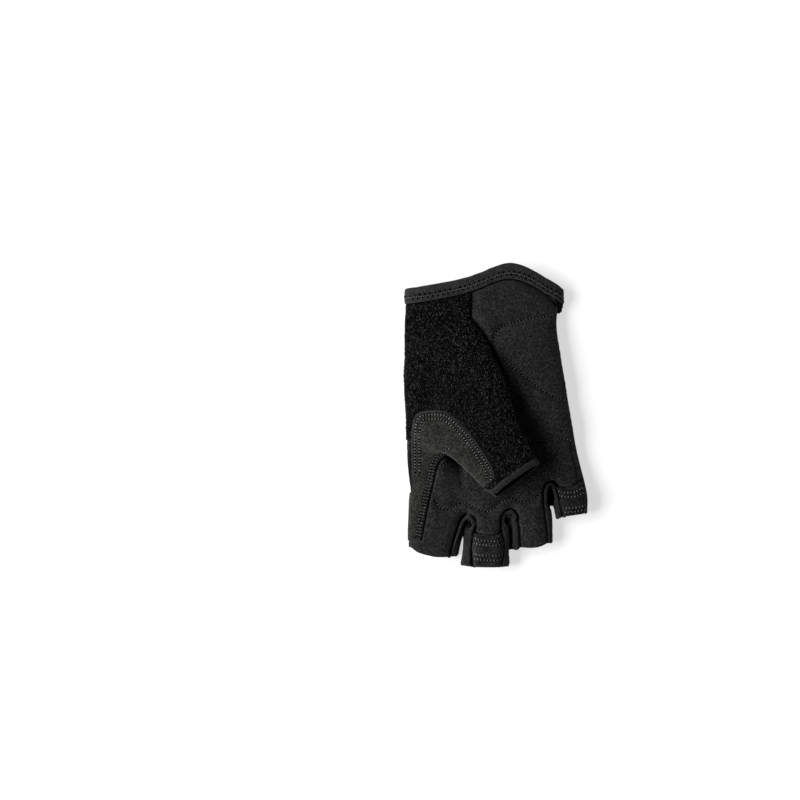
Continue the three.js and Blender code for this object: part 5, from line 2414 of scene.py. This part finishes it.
@dataclass(frozen=True)
class PullTab:
    """A suede tab sewn to a finger's end with two double rows.

    The four lines run along its root, its tip and its two sides, seen from above.
    """

    root: tuple
    tip: tuple
    left: tuple
    right: tuple
    rows: tuple
    finish: Finish = Finish.TAB
    wall: float = 0.9
    lift: float = 1.15
    arch: tuple = (0.55, 0.32, 0.42)  # how far it stands off between its rows, from where, and how long
    edge: tuple = (0.25, 0.45, 0.6)  # how high its face is, how much lower its border, and over what width
    stitch: tuple = (0.25, 0.7)  # depth and width of the grooves along the rows
    lumps: tuple = ((0.12, 3.4, 81), (0.1, 1.5, 82))
    palm_level: float = 5.5  # what lies lower than this is not the palm
    probes: int = 5  # one of so many points of the tab is laid on the palm
    across: int = 44
    length: int = 46

    def plan(self, u: Array, v: Array) -> Array:
        """Places on the tab, seen from above.

        Args:
            u: How far across the tab they are, from 0 to 1.
            v: How far from its root to its tip.

        Returns:
            The places, one to a row.
        """
        u1, v1 = u[:, None], v[:, None]
        root = along_line(self.root, u) * (1 - v1) + along_line(self.tip, u) * v1
        sides = along_line(self.left, v) * (1 - u1) + along_line(self.right, v) * u1
        a, b, c, d = (np.array(p, float) for p in (self.root[0], self.root[-1], self.tip[0], self.tip[-1]))
        return root + sides - ((a * (1 - u1) + b * u1) * (1 - v1) + (c * (1 - u1) + d * u1) * v1)

    def level(self, plan: Array, u: Array, v: Array, under: Surface) -> Array:
        """The smooth height of the palm under the tab.

        Args:
            plan: Places on the tab, seen from above.
            u: How far across the tab they are.
            v: How far from its root to its tip.
            under: The palm.

        Returns:
            A height for each place.
        """
        terms = surface_terms(u - 0.5, v - 0.5)
        levels, chosen = [], []
        for k in range(0, len(plan), self.probes):
            hit, _ = under.under(plan[k:k + 1], 0.0)
            if len(hit) and hit[0, 2] > self.palm_level:
                levels.append(hit[0, 2])
                chosen.append(k)
        weights, *_ = np.linalg.lstsq(terms[chosen], np.array(levels), rcond=None)
        return terms @ weights

    def built(self, name: str, under: Surface) -> tuple[Piece, Surface]:
        """Makes the tab, laid over the palm.

        Args:
            name: The piece's name.
            under: The palm.

        Returns:
            The piece, and its face for the sewing.
        """
        shares = np.linspace(0, 1, self.length), np.linspace(0, 1, self.across)
        v, u = (a.ravel() for a in np.meshgrid(*shares, indexing="ij"))
        plan = self.plan(u, v)
        rise, start, length = self.arch
        arch = rise * np.sin(math.pi * np.clip((v - start) / length, 0, 1)) ** 2
        points = np.column_stack([plan, self.level(plan, u, v, under) + self.lift + arch])
        cloth = Cloth.of(points, flat_grid(self.length, self.across))
        if cloth.normals[:, 2].sum() < 0:
            cloth = cloth.turned_over()
        rows = np.minimum.reduce([np.abs(v - row) * np.ptp(plan[:, 1]) for row in self.rows])
        face, lower, reach = self.edge
        depth, width = self.stitch
        heights = face - lower * fade(cloth.from_rim(cloth.rim()), reach) - depth * bell(rows, width)
        cloth = cloth.raised(heights + lumps(points, *self.lumps))
        solid, triangles = cloth.walled(self.wall)
        return mesh_piece(name, solid, triangles, self.finish), Surface(cloth.points, cloth.triangles)


TABS = {
    "pull_tab_middle": PullTab(
        root=((-13.0, -64.2), (-9.4, -65.7), (-4.6, -66.4), (0.2, -66.4), (3.4, -64.2)),
        tip=((-12.7, -82.7), (-7.5, -83.2), (-3.4, -83.4), (2.6, -83.5)),
        left=((-13.0, -64.2), (-13.4, -72.0), (-12.7, -82.7)),
        right=((3.4, -64.2), (4.4, -71.0), (3.9, -76.5), (2.6, -83.5)),
        rows=(0.145, 0.29, 0.62, 0.77),
    ),
    "pull_tab_little": PullTab(
        root=((31.4, -37.8), (33.2, -39.2), (37.0, -40.0), (42.2, -39.7), (46.2, -37.3), (48.6, -35.6)),
        tip=((37.0, -55.6), (40.6, -55.1), (46.1, -54.3), (49.4, -53.8)),
        left=((31.4, -37.8), (33.6, -42.0), (34.8, -48.4), (37.0, -55.6)),
        right=((48.6, -35.6), (50.0, -41.9), (50.4, -48.6), (49.4, -53.8)),
        rows=(0.16, 0.32, 0.72, 0.86),
        finish=Finish.SHADE_PAINTED_TAB_OF_LITTLE_FINGER,
    ),
}


@dataclass(frozen=True)
class Stitch:
    """One kind of stitch. A hole's and a bead of thread's size is its length, width and height; the hole is a
    near-black bead that paints the shade in the needle's hole.
    """

    pitch: float
    hole: tuple
    bead: tuple
    thread: Finish
    sway: float  # how far a stitch may turn, in radians
    lift: float  # how far above the cloth its row lies


@dataclass
class Seamstress:
    """Sews the rows of thread, once every cloth is in place."""

    shell: Shell
    pieces: dict = field(default_factory=dict)
    pitch: float = 0.5  # how closely the lines' points lie
    quilted: Stitch = Stitch(1.9, (1.2, 0.95, 0.45), (1.0, 0.6, 0.45), Finish.DIM_THREAD, 0.3, 0.06)
    patched: Stitch = Stitch(1.7, (1.35, 1.5, 0.66), (1.0, 0.9, 0.75), Finish.THREAD, 0.8, 0.08)
    edged: Stitch = Stitch(1.7, (1.1, 1.15, 0.55), (0.95, 0.75, 0.66), Finish.DIM_THREAD, 0.8, 0.08)
    tabbed: Stitch = Stitch(1.75, (1.2, 1.2, 0.55), (1.15, 1.0, 0.7), Finish.TAB_THREAD, 0.9, 0.05)
    tab_starts: tuple = (0.03, 0.085)  # share of the tab's width where the rows start, in turn
    tab_end: float = 0.97
    tab_points: int = 60
    zigzag_place: tuple = (2.5, 1.2)  # past the cuff's edge and outside the cloth
    zigzag_lift: float = 0.05
    zigzag_width: float = 1.9
    zigzag_pitch: float = 1.4
    # the needle's holes are near-black beads: painted shade
    zigzag_hole: tuple = (1.45, 1.25, 0.7)
    zigzag_bead: tuple = (1.0, 0.55, 0.66)
    hem_lift: float = 0.03
    hem_pitch: float = 1.9
    hem_bead: tuple = (1.2, 0.45, 0.4)
    hem_width: float = 2.0
    side_height: float = 1.3  # below this the loops grow only where the towelling faces up
    loop: tuple = (0.37, 0.165, 0.585, 6.0)  # what pile_tree takes

    def keep(self, name: str, piece: Piece) -> None:
        """Keeps a finished piece and reports it."""
        self.pieces[name] = piece
        log.info("%s: %d triangles", name, triangles_of(piece))

    def sew(self, name: str, rows: Rows, tree: Sewing) -> None:
        """Runs one kind of sewing over its rows."""
        self.keep(name, tree.sewn(rows.base(), name))

    def both(self, name: str, rows: Rows, stitch: Stitch) -> None:
        """Sews near-black beads at the needle's holes along rows, as painted shade, and then the stitches
        between them.

        Args:
            name: What the two pieces' names start with.
            rows: The rows.
            stitch: The kind of stitch.
        """
        self.sew(f"{name}_hole_shades", rows, stitch_tree(stitch.hole, stitch.pitch, Finish.HOLE_SHADE, 1))
        tree = stitch_tree(stitch.bead, stitch.pitch, stitch.thread, 0, stitch.sway)
        self.sew(f"{name}_stitches", rows, tree)

    def quilting(self) -> None:
        """Sews the palm's quilting."""
        rows = Rows()
        for line in QUILTING[:-1]:
            plan = spaced(spline(line), self.pitch)
            rows.add(*self.shell.faces["palm_panel"].under(plan, self.quilted.lift))
        self.both("quilting", rows, self.quilted)

    def patch(self) -> None:
        """Sews the two rows along each edge of the thumb's patch."""
        lines = self.shell.patch_sewn()
        for name, pair, stitch in (("patch", lines[:2], self.patched), ("patch_edge", lines[2:], self.edged)):
            rows = Rows()
            for line in pair:
                rows.add(*self.shell.faces["thumb_patch"].under(line, stitch.lift))
            self.both(name, rows, stitch)

    def tabs(self, faces: dict[str, Surface]) -> None:
        """Sews the double rows across both pull tabs.

        Args:
            faces: The tabs' faces by name.
        """
        rows = Rows()
        for name, tab in TABS.items():
            for k, row in enumerate(tab.rows):
                share = np.linspace(self.tab_starts[k % 2], self.tab_end, self.tab_points)
                plan = tab.plan(share, np.full(self.tab_points, row))
                rows.add(*faces[name].under(plan, self.tabbed.lift))
        self.both("tab", rows, self.tabbed)

    def zigzag(self, band: Band, face: Surface) -> None:
        """Sews the zigzag that holds the binding, with near-black beads at its needle's holes as painted
        shade.

        Args:
            band: The binding's band.
            face: Its surface.
        """
        rows = Rows()
        rows.add(*face.beneath(band.line(*self.zigzag_place), self.zigzag_lift))
        for name, bead, finish, between in (
            ("binding_hole_shades", self.zigzag_hole, Finish.HOLE_SHADE, False),
            ("binding_zigzag", self.zigzag_bead, Finish.TAB_THREAD, True),
        ):
            self.sew(name, rows, zigzag_tree(self.zigzag_width, bead, self.zigzag_pitch, finish, between))

    def finger_hems(self) -> None:
        """Sews the rows round the fingers' ends on the back."""
        rows = Rows()
        for points in TIPS.values():
            line = spaced(spline(points), self.pitch) + (0, self.hem_width)
            rows.add(*self.shell.faces["back_panel"].under(line, self.hem_lift, down=False))
        tree = stitch_tree(self.hem_bead, self.hem_pitch, Finish.DIM_THREAD, 0)
        self.sew("finger_hem_stitches", rows, tree)

    def pile(self) -> None:
        """Grows the loops of the towelling, except where it lies on the floor."""
        face = self.shell.faces["terry_panel"]
        a, b, c = (face.points[face.triangles[:, k]] for k in range(3))
        raised = np.cross(b - a, c - a)[:, 2] > 0
        high = np.minimum.reduce([a, b, c])[:, 2] > self.side_height
        mesh = bpy.data.meshes.new("terry_ground")
        mesh.from_pydata(placed(face.points).tolist(), [], face.triangles[raised | high].tolist())
        ground = linked("terry_ground", mesh)
        self.keep("terry_pile", pile_tree(*self.loop, Finish.PILE).sewn(ground, "terry_pile"))


class Held(Enum):
    """How the glove holds a cloth."""

    LAID = "laid"
    FOLDED = "folded"
    STRETCHED = "stretched"


@dataclass(frozen=True)
class Cut:
    """The flat cloth that a part was cut from, in metres and square metres, and how it is held."""

    width: float
    length: float
    held: Held
    area: float | None = None
    rests_on: tuple = ()
    with_pieces: tuple = ()

    def declare(self, piece: Piece) -> None:
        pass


CUTS = {
    "terry_panel": Cut(0.095, 0.125, Held.FOLDED, 0.0071, ("back_panel",), ("terry_pile",)),
    "thumb_patch": Cut(
        0.07, 0.085, Held.FOLDED, 0.0031, ("terry_panel",),
        ("patch_stitches", "patch_hole_shades", "patch_edge_stitches", "patch_edge_hole_shades"),
    ),
    "back_panel": Cut(0.098, 0.15, Held.LAID, 0.01, (), ("finger_hem_stitches",)),
    "wrist_binding": Cut(
        0.01, 0.19, Held.FOLDED, None, ("palm_panel", "terry_panel", "back_panel"),
        ("binding_zigzag", "binding_hole_shades"),
    ),
    "thumb_hem": Cut(0.01, 0.067, Held.FOLDED, 0.00031, ("terry_panel",)),
    **{
        name: Cut(0.018, length, Held.STRETCHED, area, ("palm_panel",), (f"{name}_fold",))
        for name, length, area in zip(GUSSETS, (0.034, 0.034, 0.04), (0.00056, 0.00055, 0.00064))
    },
    "pull_tab_middle": Cut(
        0.0185, 0.02, Held.LAID, None, ("palm_panel",), ("tab_stitches", "tab_hole_shades"),
    ),
    "pull_tab_little": Cut(0.018, 0.018, Held.LAID, None, ("palm_panel",)),
}


@dataclass(frozen=True)
class Studio:
    """The floor, the light and the camera, in metres but for the camera's own sizes."""

    floor: float = 6.0
    sky: float = 0.05
    key: tuple = (-1.31, 0.06, 0.66)
    key_size: float = 1.5
    key_power: float = 80.0
    fill: tuple = (1.4, -0.35, 0.45)
    fill_size: float = 1.0
    fill_power: float = 8.0
    lens: float = 200.0
    sensor: float = 36.0
    picture: float = 0.44  # what the photograph's width spans at the glove's height
    level: float = 0.01  # that height
    aim: tuple = (-0.05296, 0.00792)
    far: float = 20.0

    def built(self) -> None:
        """Sets up the floor, the light and the camera."""
        scene = bpy.context.scene
        bpy.ops.mesh.primitive_plane_add(size=self.floor, location=(0, 0, 0))
        floor = bpy.context.object
        floor.name = "floor"
        floor.data.materials.append(Floor().material())
        world = bpy.data.worlds.new("pale_sky")
        world.use_nodes = True
        world.node_tree.nodes["Background"].inputs[0].default_value = (1, 1, 1, 1)
        world.node_tree.nodes["Background"].inputs[1].default_value = self.sky
        scene.world = world
        self.lamp("key", self.key, self.key_size, self.key_power)
        self.lamp("fill", self.fill, self.fill_size, self.fill_power)
        camera = linked("camera", bpy.data.cameras.new("camera"))
        camera.data.lens, camera.data.sensor_width, camera.data.clip_end = self.lens, self.sensor, self.far
        camera.location = (*self.aim, self.picture * self.lens / self.sensor + self.level)
        scene.camera = camera
        scene.view_settings.view_transform = "Standard"
        scene.view_settings.look = "None"
        scene.view_settings.exposure = 0.0
        scene.view_settings.gamma = 1.0

    def lamp(self, name: str, place: tuple, size: float, power: float) -> None:
        """A soft lamp that faces the glove.

        Args:
            name: The lamp's name.
            place: Where it stands.
            size: How wide it is.
            power: Its power in watts.
        """
        made = linked(name, bpy.data.lights.new(name, "AREA"))
        made.data.shape, made.data.size, made.data.energy = "SQUARE", size, power
        made.location = place
        made.rotation_euler = (-Vector(place)).to_track_quat("-Z", "Y").to_euler()


def area_of(piece: Piece) -> float:
    """A piece's surface in square metres."""
    return sum(p.area for p in piece.data.polygons)


def main() -> None:
    logging.basicConfig(level=logging.INFO, format="%(name)s %(message)s", stream=sys.stdout)
    shell = Shell()
    log.info("skin cut into %d panels", len(shell.cloths))
    palm, terry, patch, back = shell.palm(), shell.terry(), shell.patch(), shell.back()
    gussets = {name: shell.gusset(name) for name in GUSSETS}
    over = [shell.faces["palm_panel"]] + [shell.faces[name] for name in GUSSETS]
    loops = {name: LOOPS[name].built(f"{name}_fold", over) for name in GUSSETS}
    cuff = Cuff().band()
    binding, binding_face = cuff.built("wrist_binding_tape")
    hem, _ = ThumbHem().band().built("thumb_hem_tape")
    tabs, tab_faces = {}, {}
    for name, tab in TABS.items():
        tabs[name], tab_faces[name] = tab.built(f"{name}_suede", shell.faces["palm_panel"])
    sewer = Seamstress(shell)
    sewer.quilting()
    sewer.patch()
    sewer.tabs(tab_faces)
    sewer.zigzag(cuff, binding_face)
    sewer.finger_hems()
    sewer.pile()
    slots = {
        "palm_panel": (palm, "suede"), "terry_panel": (terry, "terry"), "thumb_patch": (patch, "patch_suede"),
        "back_panel": (back, "stretch_fabric"), "wrist_binding": (binding, "binding_tape"),
        "thumb_hem": (hem, "patch_suede"),
        **{name: (piece, "stretch_fabric") for name, piece in gussets.items()},
        **{name: (piece, "suede") for name, piece in tabs.items()},
    }
    for name, (piece, slot) in slots.items():
        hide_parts(name)
        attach(piece, "root")
        log.info("%s: area %.5f", name, area_of(piece))
    for name, piece in loops.items():
        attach(piece, "root")
    for name, piece in sewer.pieces.items():
        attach(piece, "root")
    for name, cut in CUTS.items():
        cut.declare(slots[name][0])
    Studio().built()


if __name__ == "__main__":
    main()
